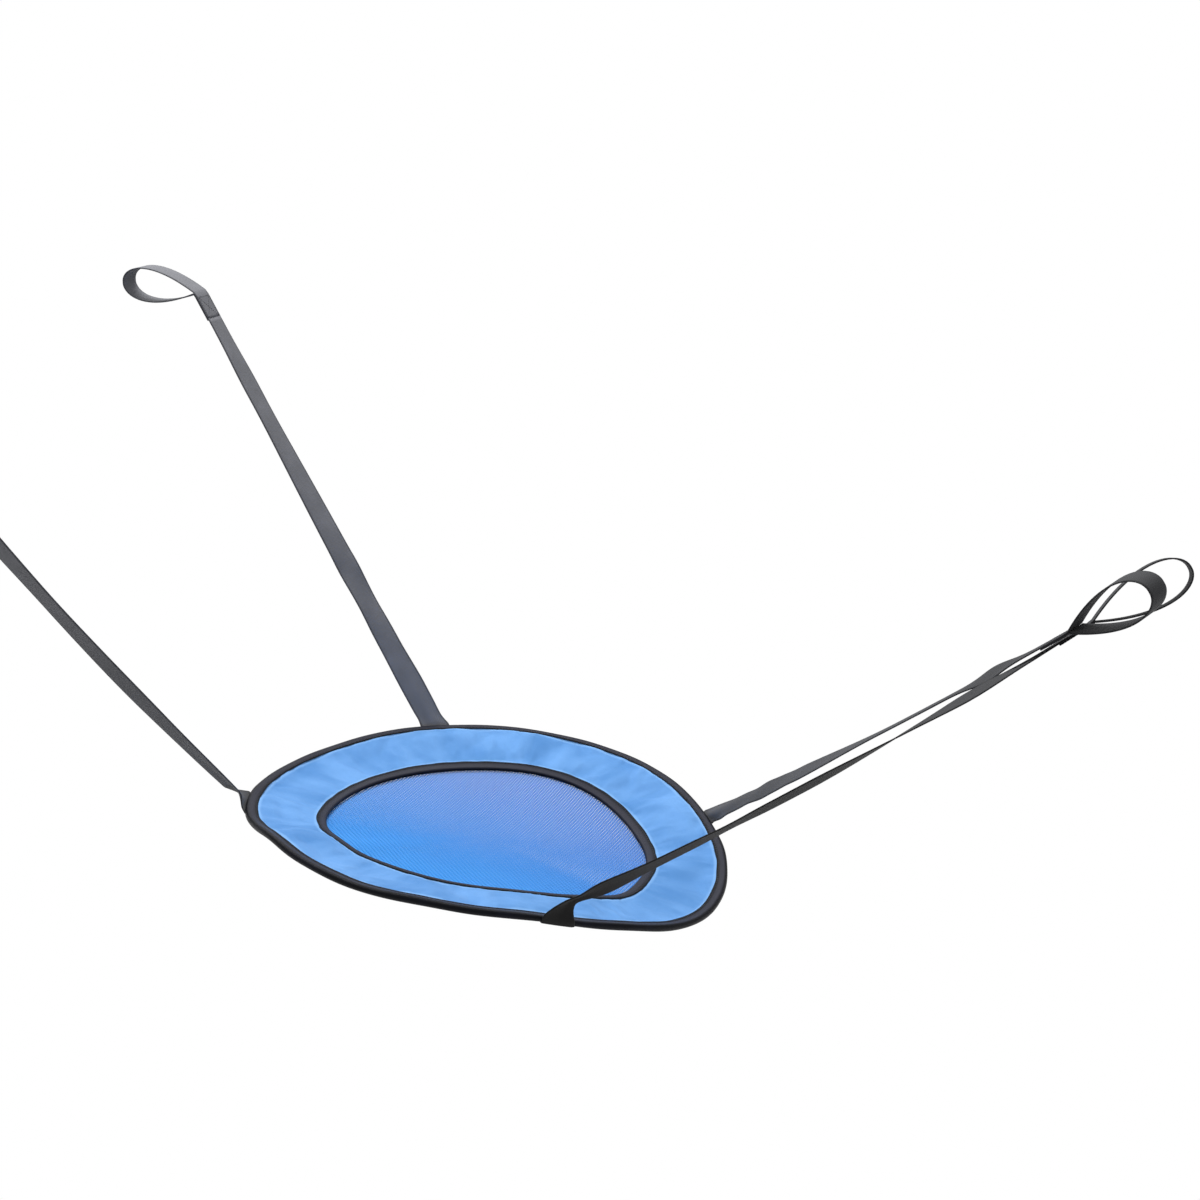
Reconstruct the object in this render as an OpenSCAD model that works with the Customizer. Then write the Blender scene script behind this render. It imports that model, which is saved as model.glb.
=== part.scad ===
// Round toss net for two players: a see-through mesh panel in a soft border,
// bound in tape, with four webbing straps that end in hand loops.
// It is modelled as it hangs when all four straps are pulled.
// Bearings are counter-clockwise from +X, seen from above.

/* [Net] */
// Diameter over the bound rim
net_d = 500; // [400:5:640]
// Diameter of the mesh panel at the middle of its seam tape
mesh_d = 344; // [260:2:370]
// Thickness of the woven mesh
mesh_t = 0.8; // [0.5:0.1:1.5]
// Thickness of the border fabric
band_t = 3; // [2:0.5:5]

/* [Binding tape] */
// Thickness of the tape
tape_t = 0.8; // [0.5:0.1:1.2]
// Width of the folded tape on the rim
rim_tape_w = 8.5; // [8:0.5:12]
// Diameter of the filler cord inside the rim fold
cord_d = 4; // [3.5:0.5:5]
// Width of the folded tape on the mesh seam
seam_tape_w = 9; // [8:0.5:12]
// Diameter of the sewing thread
thread_d = 0.6; // [0.4:0.1:0.8]
// Distance of the sewing line from the tape's edge
sew_margin = 1.8; // [1.2:0.1:2.4]

/* [Straps] */
// Width of the webbing
web_w = 25; // [20:1:30]
// Thickness of the webbing
web_t = 1.4; // [1:0.1:2]
// Length of a strap from the rim to its hand loop
strap_len = 560; // [450:10:700]
// Length of the sewn end under the rim
tab_len = 24; // [20:1:40]
// Length of the folded end that is sewn back on the strap
lap_len = 30; // [24:1:45]
// Length of a hand loop
loop_len = 95; // [80:5:120]
// Opening of a hand loop across its middle
loop_open = 36; // [30:2:44]
// Width of a strap where it is bunched beside the rim, as a share of the webbing
bunch_share = 0.9; // [0.5:0.05:1]
// Distance from the rim to where it is bunched most
bunch_at = 16; // [12:1:24]

/* [Hang] */
// Fall of the rim towards +X
rim_tilt = 35.6; // [0:0.2:45]
// Rise of the rim's two high sides
rim_saddle = 15.5; // [0:0.5:20]
// Bearing of one high side
saddle_bearing = 68; // [40:1:90]
// Smaller uneven wave of the rim
rim_wave = 1.7; // [0:0.1:3]
// Lift of the rim at the straps
strap_lift = 3.5; // [0:0.5:6]
// Inward pull of the rim at the straps
pull_in = 3.7; // [0:0.1:6]
// Depth of the mesh seam below the rim
seam_drop = 10.8; // [4:0.2:20]
// Fall of the mesh seam towards +X
seam_tilt = 24; // [0:0.5:30]
// Fall of the mesh seam towards +Y
seam_tip = 6.5; // [0:0.5:10]
// Rise of the seam's two high sides
seam_saddle = 11; // [0:0.5:14]
// Depth of the middle of the mesh
mesh_sag = 20; // [14:1:32]

/* [Pull] */
// Bearing of each strap on the rim: left, back, right, front
strap_bearing = [187, 107.8, 18.3, 288];
// Bearing that each strap is pulled towards
pull_bearing = [249.1, 160.1, -49.8, -0.9];
// Rise of each pull above the horizontal
pull_rise = [46.8, 60.4, 35.8, 32.2];
// Droop of each strap at its middle
strap_droop = [9.3, 1, 5.4, 10.4];
// Height that each strap stands up beside the rim before it follows its pull
strap_stand = [6.7, 0, 0, 15.6];
// Length in which each strap turns from the line of the rim to its own twist
turn_in = [48, 20, 48, 30];
// Twist of each strap near the rim, from lying flat
twist_root = [-10, -56, 32, -37];
// Twist of each strap at its hand loop
twist_end = [-6, -2, 10.5, -18.2];
// Share of each strap's length before it starts to turn to that twist
turn_from = [0, 0.1, 0.22, 0.48];
// Share of each strap's length by which it has turned
turn_to = [0.45, 0.9, 0.55, 0.72];
// Turn of each hand loop out of the strap's line
loop_turn = [0, -55, 0, 0];

/* [Hidden] */

lay_gap = 0.15;                      // between layers that are sewn together
swing_gap = 0.3;                     // between pieces that move against each other
lift_bearing = 18;                   // the straps' common spacing starts here
wave_bearing = 22;                   // a high point of the rim's smaller wave
seam_saddle_bearing = 76;            // bearing of one high side of the seam
cord_r = cord_d / 2;
fold_r = cord_r + lay_gap + tape_t;  // outside of the rolled rim
slot_half = band_t / 2 + lay_gap;    // inside of a tape on the border's faces
tape_half = slot_half + tape_t;      // outside of a tape on the border's faces
band_top = band_t / 2;
mesh_drop = tape_half + lay_gap + mesh_t / 2;
thread_r = thread_d / 2;
around = 72;                         // steps round the net
mesh_rings = 6;                      // rings of the mesh, the last under the tape
roll_steps = 5;                      // steps round a fold of tape
strap_steps = 22;                    // steps along a strap
root_off = swing_gap + web_t / 2;    // hinge line of a strap outside the rim
stand_at = 24;                       // a strap has its full stand this far from the rim,
stand_end = 0.9;                     // and has lost it at this share of its length
loop_root = web_t + swing_gap / 2;   // inside of a loop beyond its hinge line
loop_steps = 12;                     // steps along each leg of a loop
tack_margin = 1.5;                   // from the webbing's edge to its stitches
tab_edge = 0.5;                      // the sewn end comes out from under the tape, and then
tab_step = 3;                        // it steps up to the border

// ---------- small helpers ----------

function unit(v) = v / norm(v);
function mix(a, b, k) = a + (b - a) * k;
function clamp01(k) = min(1, max(0, k));
function smooth(k) = let (c = clamp01(k)) c * c * (3 - 2 * c);
// Direction of a bearing and a rise above the horizontal
function heading(bearing, rise) =
  [cos(rise) * cos(bearing), cos(rise) * sin(bearing), sin(rise)];
// A vector turned about a unit axis
function turn(v, axis, angle) =
  v * cos(angle) + cross(axis, v) * sin(angle) + axis * (axis * v) * (1 - cos(angle));
function flat(lists) = [for (l = lists) for (p = l) p];
function reversed(l) = [for (i = [len(l) - 1:-1:0]) l[i]];

// Two triangles for the four corners of a face, which need not lie in one plane
function quad(a, b, c, d) = [[a, b, c], [a, c, d]];
// Faces between two neighbouring rings of m points
function band_faces(first, second, m) =
  flat([for (j = [0:m - 1])
    quad(first + j, first + (j + 1) % m, second + (j + 1) % m, second + j)]);

// A closed hoop: stations are equal lists of points, and the last joins the first
module hoop(stations) {
  n = len(stations);
  m = len(stations[0]);
  polyhedron(flat(stations), flat([for (i = [0:n - 1]) band_faces(i * m, ((i + 1) % n) * m, m)]));
}

// A rod with two ends: stations are equal lists of points
module bar(stations) {
  n = len(stations);
  m = len(stations[0]);
  last = (n - 1) * m;
  ends = flat([for (j = [1:m - 2]) [[0, j + 1, j], [last, last + j, last + j + 1]]]);
  polyhedron(flat(stations),
             concat(flat([for (i = [0:n - 2]) band_faces(i * m, (i + 1) * m, m)]), ends));
}

// A straight thread between two points, drawn in at both ends by a share of its thickness
module stitch(from, to, draw_in = 1) {
  v = to - from;
  trim = draw_in * thread_d;
  translate(from + unit(v) * trim)
    rotate([0, acos(v.z / norm(v)), atan2(v.y, v.x)])
      cylinder(h = norm(v) - 2 * trim, r = thread_r, $fn = 16);
}

// ---------- the hanging net ----------

function rim_r(a) = net_d / 2 - pull_in * cos(4 * (a - lift_bearing));
function rim_z(a) =
  -rim_tilt * cos(a)
  + rim_saddle * cos(2 * (a - saddle_bearing))
  + rim_wave * cos(3 * (a - wave_bearing))
  + strap_lift * cos(4 * (a - lift_bearing));
function seam_r(a) = rim_r(a) * mesh_d / net_d;
function border_w(a) = rim_r(a) - seam_r(a);

// The seam's height is a level part, a part that falls one way, and a saddle
function seam_fall(a) = -seam_tilt * cos(a) - seam_tip * sin(a);
function seam_rise(a) = seam_saddle * cos(2 * (a - seam_saddle_bearing));
function seam_z(a) = -seam_drop + seam_fall(a) + seam_rise(a);

// Middle of the border fabric at a bearing and a distance inward from the rim
function border_at(a, d) =
  let (r = rim_r(a) - d, z = mix(rim_z(a), seam_z(a), d / border_w(a)))
  [r * cos(a), r * sin(a), z];
function border_up(a, d) =
  unit(cross(border_at(a, d - 0.5) - border_at(a, d + 0.5),
             border_at(a + 0.5, d) - border_at(a - 0.5, d)));
function lay(a, d, h) = border_at(a, d) + h * border_up(a, d);

// A profile point is [part, inward, up]: part is 0 for the rim and 1 for the seam
function border_hoop(profile) =
  [for (i = [0:around - 1]) let (a = 360 * i / around)
    [for (p = profile) lay(a, p[0] * border_w(a) + p[1], p[2])]];

// Where the mesh comes out from under the seam tape
function mesh_edge(a) = lay(a, border_w(a) + seam_tape_w / 2, -mesh_drop);
// Mesh surface: q runs from 0 in the middle to 1 at the seam tape. Its tilt is even from
// edge to edge, and its sag and saddle grow with the square of q.
function mesh_at(a, q, h) =
  let (e = mesh_edge(a), fall = seam_fall(a), middle = -mesh_sag - mesh_drop)
  [q * e.x, q * e.y, mix(middle, e.z - fall, q * q) + q * fall + h];
// The sewn edge of the mesh, under the border
function mesh_hem(a, h) = lay(a, border_w(a) + seam_open_at + sew_margin / 2, -mesh_drop + h);

// Half circle of a tape's fold about the point [inward], from top to bottom
function fold_arc(part, inward, r, side, steps) =
  [for (i = [0:steps]) let (g = 90 - 180 * i / steps)
    [part, inward + side * r * cos(g), r * sin(g)]];

// Tape folded over an edge: side is -1 where the fold faces outward, 1 where it faces inward
function tape_profile(part, fold_at, open_at, outside, inside, side) =
  concat(fold_arc(part, fold_at, outside, side, roll_steps),
         [[part, open_at, -tape_half], [part, open_at, -slot_half]],
         reversed(fold_arc(part, fold_at, inside, side, roll_steps)),
         [[part, open_at, slot_half], [part, open_at, tape_half]]);

// A small six-sided thread profile
function thread_profile(part, inward, up) =
  [for (i = [0:5]) [part, inward + thread_r * cos(60 * i), up - thread_r * sin(60 * i)]];

rim_fold_at = fold_r;                           // middle of the rim's rolled fold
seam_open_at = -seam_tape_w / 2;                // open edge of the seam tape, on the border
seam_fold_at = seam_tape_w / 2 - tape_half;     // middle of the seam tape's fold
band_inner_edge = seam_fold_at - lay_gap;       // the border's cut edge is inside the tape
band_outer_edge = rim_fold_at + cord_r + lay_gap;

module mesh_panel() {
  color([0.30, 0.55, 0.93])
    polyhedron(
      concat(flat([for (k = [1:mesh_rings], h = [mesh_t / 2, -mesh_t / 2])
               [for (i = [0:around - 1]) let (a = 360 * i / around)
                 k < mesh_rings ? mesh_at(a, k / (mesh_rings - 1), h) : mesh_hem(a, h)]]),
             [mesh_at(0, 0, mesh_t / 2), mesh_at(0, 0, -mesh_t / 2)]),
      mesh_faces(mesh_rings));
}

// Faces of a round sheet: each ring has its top points and then its bottom points
function mesh_faces(rings) =
  let (m = around, top = rings * 2 * m, under = top + 1, last = (rings - 1) * 2 * m)
  concat(
    [for (i = [0:m - 1]) [top, (i + 1) % m, i]],
    [for (i = [0:m - 1]) [under, m + i, m + (i + 1) % m]],
    flat([for (k = [0:rings - 2], i = [0:m - 1]) let (a = k * 2 * m, b = a + 2 * m, j = (i + 1) % m)
      concat(quad(a + i, a + j, b + j, b + i), quad(a + m + j, a + m + i, b + m + i, b + m + j))]),
    flat([for (i = [0:m - 1]) let (j = (i + 1) % m)
      quad(last + i, last + j, last + m + j, last + m + i)]));

module border_band() {
  color([0.45, 0.68, 0.95])
    hoop(border_hoop([
      [0, band_outer_edge, band_top], [0.5, 0, band_top],
      [1, band_inner_edge, band_top], [1, band_inner_edge, -band_top],
      [0.5, 0, -band_top], [0, band_outer_edge, -band_top]]));
}

module outer_binding() {
  color([0.19, 0.19, 0.22])
    hoop(border_hoop(reversed(
      tape_profile(0, rim_fold_at, rim_tape_w, fold_r, cord_r + lay_gap, -1))));
}

module inner_binding() {
  color([0.19, 0.19, 0.22])
    hoop(border_hoop(
      tape_profile(1, seam_fold_at, seam_open_at, tape_half, slot_half, 1)));
}

module rim_cord() {
  color([0.85, 0.85, 0.82])
    hoop(border_hoop([for (i = [0:7])
      [0, rim_fold_at + cord_r * cos(45 * i), -cord_r * sin(45 * i)]]));
}

// Height of the rim tape's face at its sewing line, which slopes from the roll to the border
rim_sew_at = rim_tape_w - sew_margin;
rim_sew_up = mix(fold_r, tape_half, (rim_sew_at - rim_fold_at) / (rim_tape_w - rim_fold_at));

module outer_thread() {
  up = rim_sew_up + thread_r + lay_gap / 2;
  color([0.12, 0.12, 0.14])
    for (h = [up, -up]) hoop(border_hoop(thread_profile(0, rim_sew_at, h)));
}

module inner_thread() {
  at = seam_open_at + sew_margin;
  over = tape_half + lay_gap / 2 + thread_r;
  below = -(mesh_drop + mesh_t / 2 + lay_gap / 2 + thread_r);
  color([0.12, 0.12, 0.14]) {
    hoop(border_hoop(thread_profile(1, at, over)));
    hoop(border_hoop(thread_profile(1, at, below)));
  }
}

// ---------- strap ends under the rim ----------

// The sewn end runs under the border and the rim, then turns up round the fold
function half_turn_of(i) = asin(web_w / 2 / rim_r(strap_bearing[i]));
tab_turn = 40;                             // how far the end turns up round the fold
tab_mid_r = fold_r + lay_gap + web_t / 2;  // middle of the webbing on the fold
tab_low = tape_half + lay_gap + web_t / 2; // middle of the webbing under the border

function tab_path() =
  concat([[tab_len, -(slot_half + web_t / 2)],
          [rim_tape_w + tab_step, -(slot_half + web_t / 2)],
          [rim_tape_w + tab_edge, -tab_low], [rim_sew_at, -(rim_sew_up + thread_d + 2 * lay_gap + web_t / 2)]],
         [for (k = [0:4]) let (g = 90 - tab_turn * k / 4)
           [rim_fold_at - tab_mid_r * cos(g), -tab_mid_r * sin(g)]]);

function path_normal(path, k) =
  let (before = path[max(0, k - 1)], after = path[min(len(path) - 1, k + 1)], v = unit(after - before))
  [v.y, -v.x];

module strap_tab(i) {
  path = tab_path();
  w = half_turn_of(i);
  b = strap_bearing[i];
  color([0.26, 0.26, 0.28])
    bar([for (k = [0:len(path) - 1])
      let (n = path_normal(path, k) * web_t / 2, out = path[k] + n, in = path[k] - n)
      [lay(b - w, out[0], out[1]), lay(b + w, out[0], out[1]),
       lay(b + w, in[0], in[1]), lay(b - w, in[0], in[1])]]);
}

// Two rows of stitches across each sewn end, on its lower face
module tab_bar_tacks() {
  path = tab_path();
  color([0.12, 0.12, 0.14])
    for (i = [0:3]) {
      inset = half_turn_of(i) * (1 - 2 * tack_margin / web_w);
      b = strap_bearing[i];
      for (d = [tab_len - tack_margin, rim_tape_w + tab_step + tack_margin]) {
        h = -(slot_half + web_t + thread_r + lay_gap / 2);
        stitch(lay(b - inset, d, h), lay(b + inset, d, h));
      }
    }
}

// ---------- straps ----------

function root(i) = lay(strap_bearing[i], -root_off, 0);
function root_fold(i) =
  let (b = strap_bearing[i]) unit(border_at(b + 0.5, 0) - border_at(b - 0.5, 0));
function pull(i) = heading(pull_bearing[i], pull_rise[i]);
function level(i) = unit(cross([0, 0, 1], pull(i)));
function twisted(i, angle) = level(i) * cos(angle) + cross(pull(i), level(i)) * sin(angle);

function twist(i, s) =
  mix(twist_root[i], twist_end[i], smooth((s / strap_len - turn_from[i]) / (turn_to[i] - turn_from[i])));

// Direction across the webbing at a distance s from the rim
function across(i, s) =
  let (along = twisted(i, twist(i, s)))
  unit(mix(root_fold(i), along, smooth(s / turn_in[i])));
function width_at(s) =
  let (k = s / bunch_at) web_w * (1 - (1 - bunch_share) * k * exp(1 - k));
// Height of the stand: it is gained beside the rim and lost evenly on the way to the hand
function stand(i, s) =
  strap_stand[i] * smooth(s / stand_at) * clamp01(1 - s / (stand_end * strap_len));
function strap_at(i, s) =
  let (k = s / strap_len)
  root(i) + pull(i) * s + [0, 0, stand(i, s) - 4 * strap_droop[i] * k * (1 - k)];
function face_up(i, s) = unit(cross(strap_at(i, s + 0.5) - strap_at(i, s - 0.5), across(i, s)));

// Cross-section of webbing from height low to height high over the strap's middle
function web_section(i, s, width, low, high) =
  let (c = strap_at(i, s), w = across(i, s) * width / 2, n = face_up(i, s))
  [c - w + n * high, c + w + n * high, c + w + n * low, c - w + n * low];

strap_end = strap_len - swing_gap / 2;
fold_taper = 3;                            // the webbing thins towards the fold of its loop
fold_edge = 0.4;                           // thickness left at the fold
lap_end = strap_end - fold_taper;
lap_start = lap_end - lap_len;
lap_step = 0.3;                            // the folded end's cut edge is nearly square
corner_trim = 1.2;                         // stitches of the box stop short of its corners,
cross_trim = 1.5;                          // and those of the cross a little more

// The webbing from the rim to the loop, with its end folded back under it and sewn
module strap(i) {
  color([0.33, 0.33, 0.36]) {
    bar(concat(
      [for (k = [0:strap_steps]) let (s = lap_start * pow(k / strap_steps, 1.8))
        web_section(i, s, width_at(s), -web_t / 2, web_t / 2)],
      [for (s = [lap_start + lap_step, (lap_start + lap_end) / 2, lap_end])
        web_section(i, s, width_at(s), -1.5 * web_t, web_t / 2)],
      [web_section(i, strap_end, width_at(strap_end), -fold_edge / 2, fold_edge / 2)]));
  }
}

// Stitched box with a cross on the strap's folded end, seen on its upper face
module loop_stitches(i) {
  h = web_t / 2 + thread_r + lay_gap;
  x = web_w / 2 - tack_margin;
  near = lap_start + tack_margin;
  far = lap_end - tack_margin;
  corners = [for (c = [[near, -x], [near, x], [far, x], [far, -x]])
    strap_at(i, c[0]) + across(i, c[0]) * c[1] + face_up(i, c[0]) * h];
  middle = (corners[0] + corners[1] + corners[2] + corners[3]) / 4;
  color([0.12, 0.12, 0.14])
    for (k = [0:3]) {
      stitch(corners[k], corners[(k + 1) % 4], corner_trim);
      stitch(corners[k], middle, cross_trim);
    }
}

// ---------- hand loops ----------

// Half height of the loop's inside at a share k of its length: a drop shape that grows
// evenly from the fold, is widest at two thirds, and is round at the far end
function loop_half(k) = loop_open / 2 * k / widest * sqrt((1 - k) / (1 - widest));
widest = 2 / 3;

// Middle line of a loop: out along its upper leg and back along the lower one
function loop_line() =
  let (inner = loop_len - loop_root)
  concat([for (k = [0:loop_steps]) let (q = (1 - cos(180 * k / loop_steps)) / 2)
            [loop_root + inner * q, loop_half(q)]],
         [for (k = [loop_steps - 1:-1:1]) let (q = (1 - cos(180 * k / loop_steps)) / 2)
            [loop_root + inner * q, -loop_half(q)]]);
function loop_out(line, k) =
  let (n = len(line), v = unit(line[(k + 1) % n] - line[(k + n - 1) % n])) [-v.y, v.x];

module hand_loop(i) {
  w = across(i, strap_len);
  u = turn(pull(i), w, -loop_turn[i]);
  n = cross(u, w);
  line = loop_line();
  color([0.33, 0.33, 0.36])
    hoop([for (k = [0:len(line) - 1])
      let (o = loop_out(line, k) * web_t,
           inside = line[k], outside = line[k] + o,
           a = strap_at(i, strap_len) + u * outside.x + n * outside.y,
           b = strap_at(i, strap_len) + u * inside.x + n * inside.y,
           side = w * web_w / 2)
      [a - side, a + side, b + side, b - side]]);
}

mesh_panel();
border_band();
outer_binding();
inner_binding();
rim_cord();
outer_thread();
inner_thread();
tab_bar_tacks();
strap_tab(0);  // strap_tab_left
strap_tab(1);  // strap_tab_back
strap_tab(2);  // strap_tab_right
strap_tab(3);  // strap_tab_front
strap(0);  // strap_left
strap(1);  // strap_back
strap(2);  // strap_right
strap(3);  // strap_front
hand_loop(0);  // hand_loop_left
hand_loop(1);  // hand_loop_back
hand_loop(2);  // hand_loop_right
hand_loop(3);  // hand_loop_front
loop_stitches(0);  // loop_stitches_left
loop_stitches(1);  // loop_stitches_back
loop_stitches(2);  // loop_stitches_right
loop_stitches(3);  // loop_stitches_front
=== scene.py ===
# %% [markdown]
# # A round toss net for two players
# The net is a blue see-through mesh in a soft pale border. Dark tape binds both edges of the
# border, and four webbing straps leave the rim and end in hand loops. It hangs in the air,
# pulled by the four loops, so the rim is a saddle and the mesh sags in the middle.
# The frame is the imported model: its bodies move, and every piece made here rides on one, except the
# straps and their loops.

# %% Load the frame
import math
import bpy
import numpy as np
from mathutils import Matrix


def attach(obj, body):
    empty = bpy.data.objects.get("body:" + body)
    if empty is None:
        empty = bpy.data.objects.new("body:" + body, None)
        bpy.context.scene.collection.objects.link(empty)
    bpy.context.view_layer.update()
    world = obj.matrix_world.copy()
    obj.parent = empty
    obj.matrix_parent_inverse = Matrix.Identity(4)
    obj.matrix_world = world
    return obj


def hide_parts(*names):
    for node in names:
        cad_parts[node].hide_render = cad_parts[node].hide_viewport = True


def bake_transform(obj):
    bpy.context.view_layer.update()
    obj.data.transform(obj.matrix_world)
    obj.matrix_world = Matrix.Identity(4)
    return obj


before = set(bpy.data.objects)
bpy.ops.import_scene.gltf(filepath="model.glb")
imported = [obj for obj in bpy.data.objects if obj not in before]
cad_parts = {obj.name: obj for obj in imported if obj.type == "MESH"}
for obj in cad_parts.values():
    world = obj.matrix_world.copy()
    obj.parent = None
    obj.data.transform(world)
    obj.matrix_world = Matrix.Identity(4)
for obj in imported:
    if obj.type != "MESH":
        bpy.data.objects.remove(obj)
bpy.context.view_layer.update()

# %% [markdown]
# ## The hang of the net
# A hung net could be simulated, but its pieces have to meet along the same lines at every
# joint. So the hang is a formula: at each bearing round the net the rim has a radius and a
# height, and so has the mesh seam. The border is straight between them. Every piece of the
# net is then laid on the border with three numbers: bearing, distance inward, and height.
# Lengths are in millimetres here and become metres when a mesh is made.

# %% Rim and seam
MM = 0.001
NET_R = 250.0
MESH_SHARE = 344.0 / 500.0
RIM_DRAWN_IN = 3.7
SEAM_DROP = 10.8
# waves of a height: mm, how many go round the net, bearing of the high point in degrees
RIM_WAVES = [(-35.6, 1, 0), (15.5, 2, 68), (1.7, 3, 22), (3.5, 4, 18)]
SEAM_TILT = [(-24.0, 1, 0), (-6.5, 1, 90)]
SEAM_SADDLE = [(11.0, 2, 76)]
# where the sewn edges have given way: bearing and half width in degrees, mm outward, mm up
RIM_UNEVEN = [(195, 9, 2.0, 0.0), (2, 12, 1.5, 0.0), (215, 10, 0.0, 6.5), (231, 14, 0.0, 5.2),
              (258, 11, 0.0, 3.6), (283, 13, 0.0, 3.8), (305, 11, 0.0, 3.0), (330, 12, 0.0, -1.2),
              (102, 20, 0.0, -3.4), (70, 22, 0.0, -1.6), (135, 12, 0.0, -0.9)]
SEAM_UNEVEN = [(182, 12, 2.7, 0.0), (95, 22, 0.0, -2.2), (213, 10, 0.0, 2.4),
               (263, 21, 0.0, -3.7), (300, 13, 0.0, -2.0), (323, 12, 2.5, -5.0)]


def apart(a, b):
    """Difference of two bearings, from minus to plus half a turn."""
    return (a - b + np.pi) % (2 * np.pi) - np.pi


def uneven(a, places, column):
    """Sum of bell curves of the bearing, each with its own middle, half width and height."""
    total = np.zeros(np.shape(a))
    for place in places:
        off = apart(a, np.radians(place[0])) / np.radians(place[1])
        total = total + place[column] * np.exp(-(off**2))
    return total


def wave(a, size, count, high_at):
    """A wave of the bearing a: size times the cosine of count times (a minus its high point)."""
    return size * np.cos(count * (a - np.radians(high_at)))


def waves(a, table):
    """Sum of the waves of a table."""
    return sum(wave(a, *row) for row in table)


def rim_radius(a):
    """The rim is drawn in a little where each of the four straps pulls."""
    return NET_R - wave(a, RIM_DRAWN_IN, 4, 18) + uneven(a, RIM_UNEVEN, 2)


def rim_height(a):
    """Tilt towards +X, a saddle with two high sides, two smaller waves and the unevenness."""
    return waves(a, RIM_WAVES) + uneven(a, RIM_UNEVEN, 3)


def seam_fall(a):
    """The part of the seam's height that falls one way, as a tilted plane does."""
    return waves(a, SEAM_TILT)


def seam_height(a):
    """The seam hangs below the rim, with its own tilt, saddle and unevenness."""
    return seam_fall(a) - SEAM_DROP + waves(a, SEAM_SADDLE) + uneven(a, SEAM_UNEVEN, 3)


def border_width(a):
    """Distance from the rim to the seam, measured level."""
    return rim_radius(a) * (1 - MESH_SHARE) - uneven(a, SEAM_UNEVEN, 2)


# %% Points on the net
def unit(v):
    """Vectors divided by their own lengths."""
    return v / np.linalg.norm(v, axis=-1, keepdims=True)


def border_at(a, inward):
    """Middle of the border: radius falls by the distance inward, height is mixed in proportion."""
    a, inward = np.broadcast_arrays(a, inward)
    r = rim_radius(a) - inward
    share = inward / border_width(a)
    z = rim_height(a) * (1 - share) + seam_height(a) * share
    return np.stack([r * np.cos(a), r * np.sin(a), z], -1)


def border_up(a, inward):
    """Upward normal: the inward difference crossed with the difference along the rim."""
    turn = np.radians(0.5)
    outwards = border_at(a, inward - 0.5) - border_at(a, inward + 0.5)
    along = border_at(a + turn, inward) - border_at(a - turn, inward)
    return unit(np.cross(outwards, along))


def lay(a, inward, up):
    """A point on the net: bearing, distance inward from the rim, height over the border."""
    a, inward, up = np.broadcast_arrays(a, inward, up)
    return border_at(a, inward) + up[..., None] * border_up(a, inward)


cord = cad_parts["rim_cord"].data
cord_points = np.array([v.co for v in cord.vertices]) / MM
cord_bearing = np.arctan2(cord_points[:, 1], cord_points[:, 0])
CORD_AT = 2.95
off = np.linalg.norm(cord_points - lay(cord_bearing, CORD_AT, 0.0), axis=1)
print(f"skin of the packed cord: {off.min():.2f} to {off.max():.2f} mm from the uneven cord's middle")

# %% [markdown]
# ## From a grid of points to a mesh
# Almost every piece here is a closed surface worked out on a grid: rows run along the piece
# and columns run round its section. One function turns such a grid, or many equal grids at
# once, into a mesh. It joins the last column to the first, closes the open ends, and uses
# the sign of the enclosed volume to see that the faces point outwards.

# %% Grid to mesh
def corner_table(rows, cols, join_rows):
    """Row and column numbers of the four corners of every face, not yet wrapped round."""
    steps = rows if join_rows else rows - 1
    i, j = np.meshgrid(np.arange(steps), np.arange(cols), indexing="ij")
    row_of = np.stack([i, i + 1, i + 1, i], -1)
    col_of = np.stack([j, j, j + 1, j + 1], -1)
    return row_of.reshape(-1, 4), col_of.reshape(-1, 4)


def enclosed(points, faces):
    """Six times the volume inside: the sum over faces of p0 . (p1 x p2 + p2 x p3)."""
    p = points[faces]
    return np.einsum("ij,ij->i", p[:, 0], np.cross(p[:, 1], p[:, 2]) + np.cross(p[:, 2], p[:, 3])).sum()


def add_object(name, data):
    """A new object with its mesh, camera or lamp, in the scene and at the origin."""
    thing = bpy.data.objects.new(name, data)
    bpy.context.scene.collection.objects.link(thing)
    return thing


def add_mesh(name, points, loops, sizes, uv=None):
    """Put points in millimetres, face corners and face sizes into a new object at the origin."""
    mesh = bpy.data.meshes.new(name)
    mesh.vertices.add(len(points))
    mesh.vertices.foreach_set("co", (points * MM).ravel())
    mesh.loops.add(len(loops))
    mesh.loops.foreach_set("vertex_index", loops)
    mesh.polygons.add(len(sizes))
    mesh.polygons.foreach_set("loop_start", np.concatenate([[0], np.cumsum(sizes)[:-1]]))
    mesh.polygons.foreach_set("use_smooth", np.ones(len(sizes), bool))
    if uv is not None:
        mesh.uv_layers.new(name="cloth").data.foreach_set("uv", (uv * MM).ravel())
    mesh.update(calc_edges=True)
    mesh.validate()
    print(f"{name}: {len(points)} points, {int((sizes - 2).sum())} triangles")
    return add_object(name, mesh)


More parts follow.
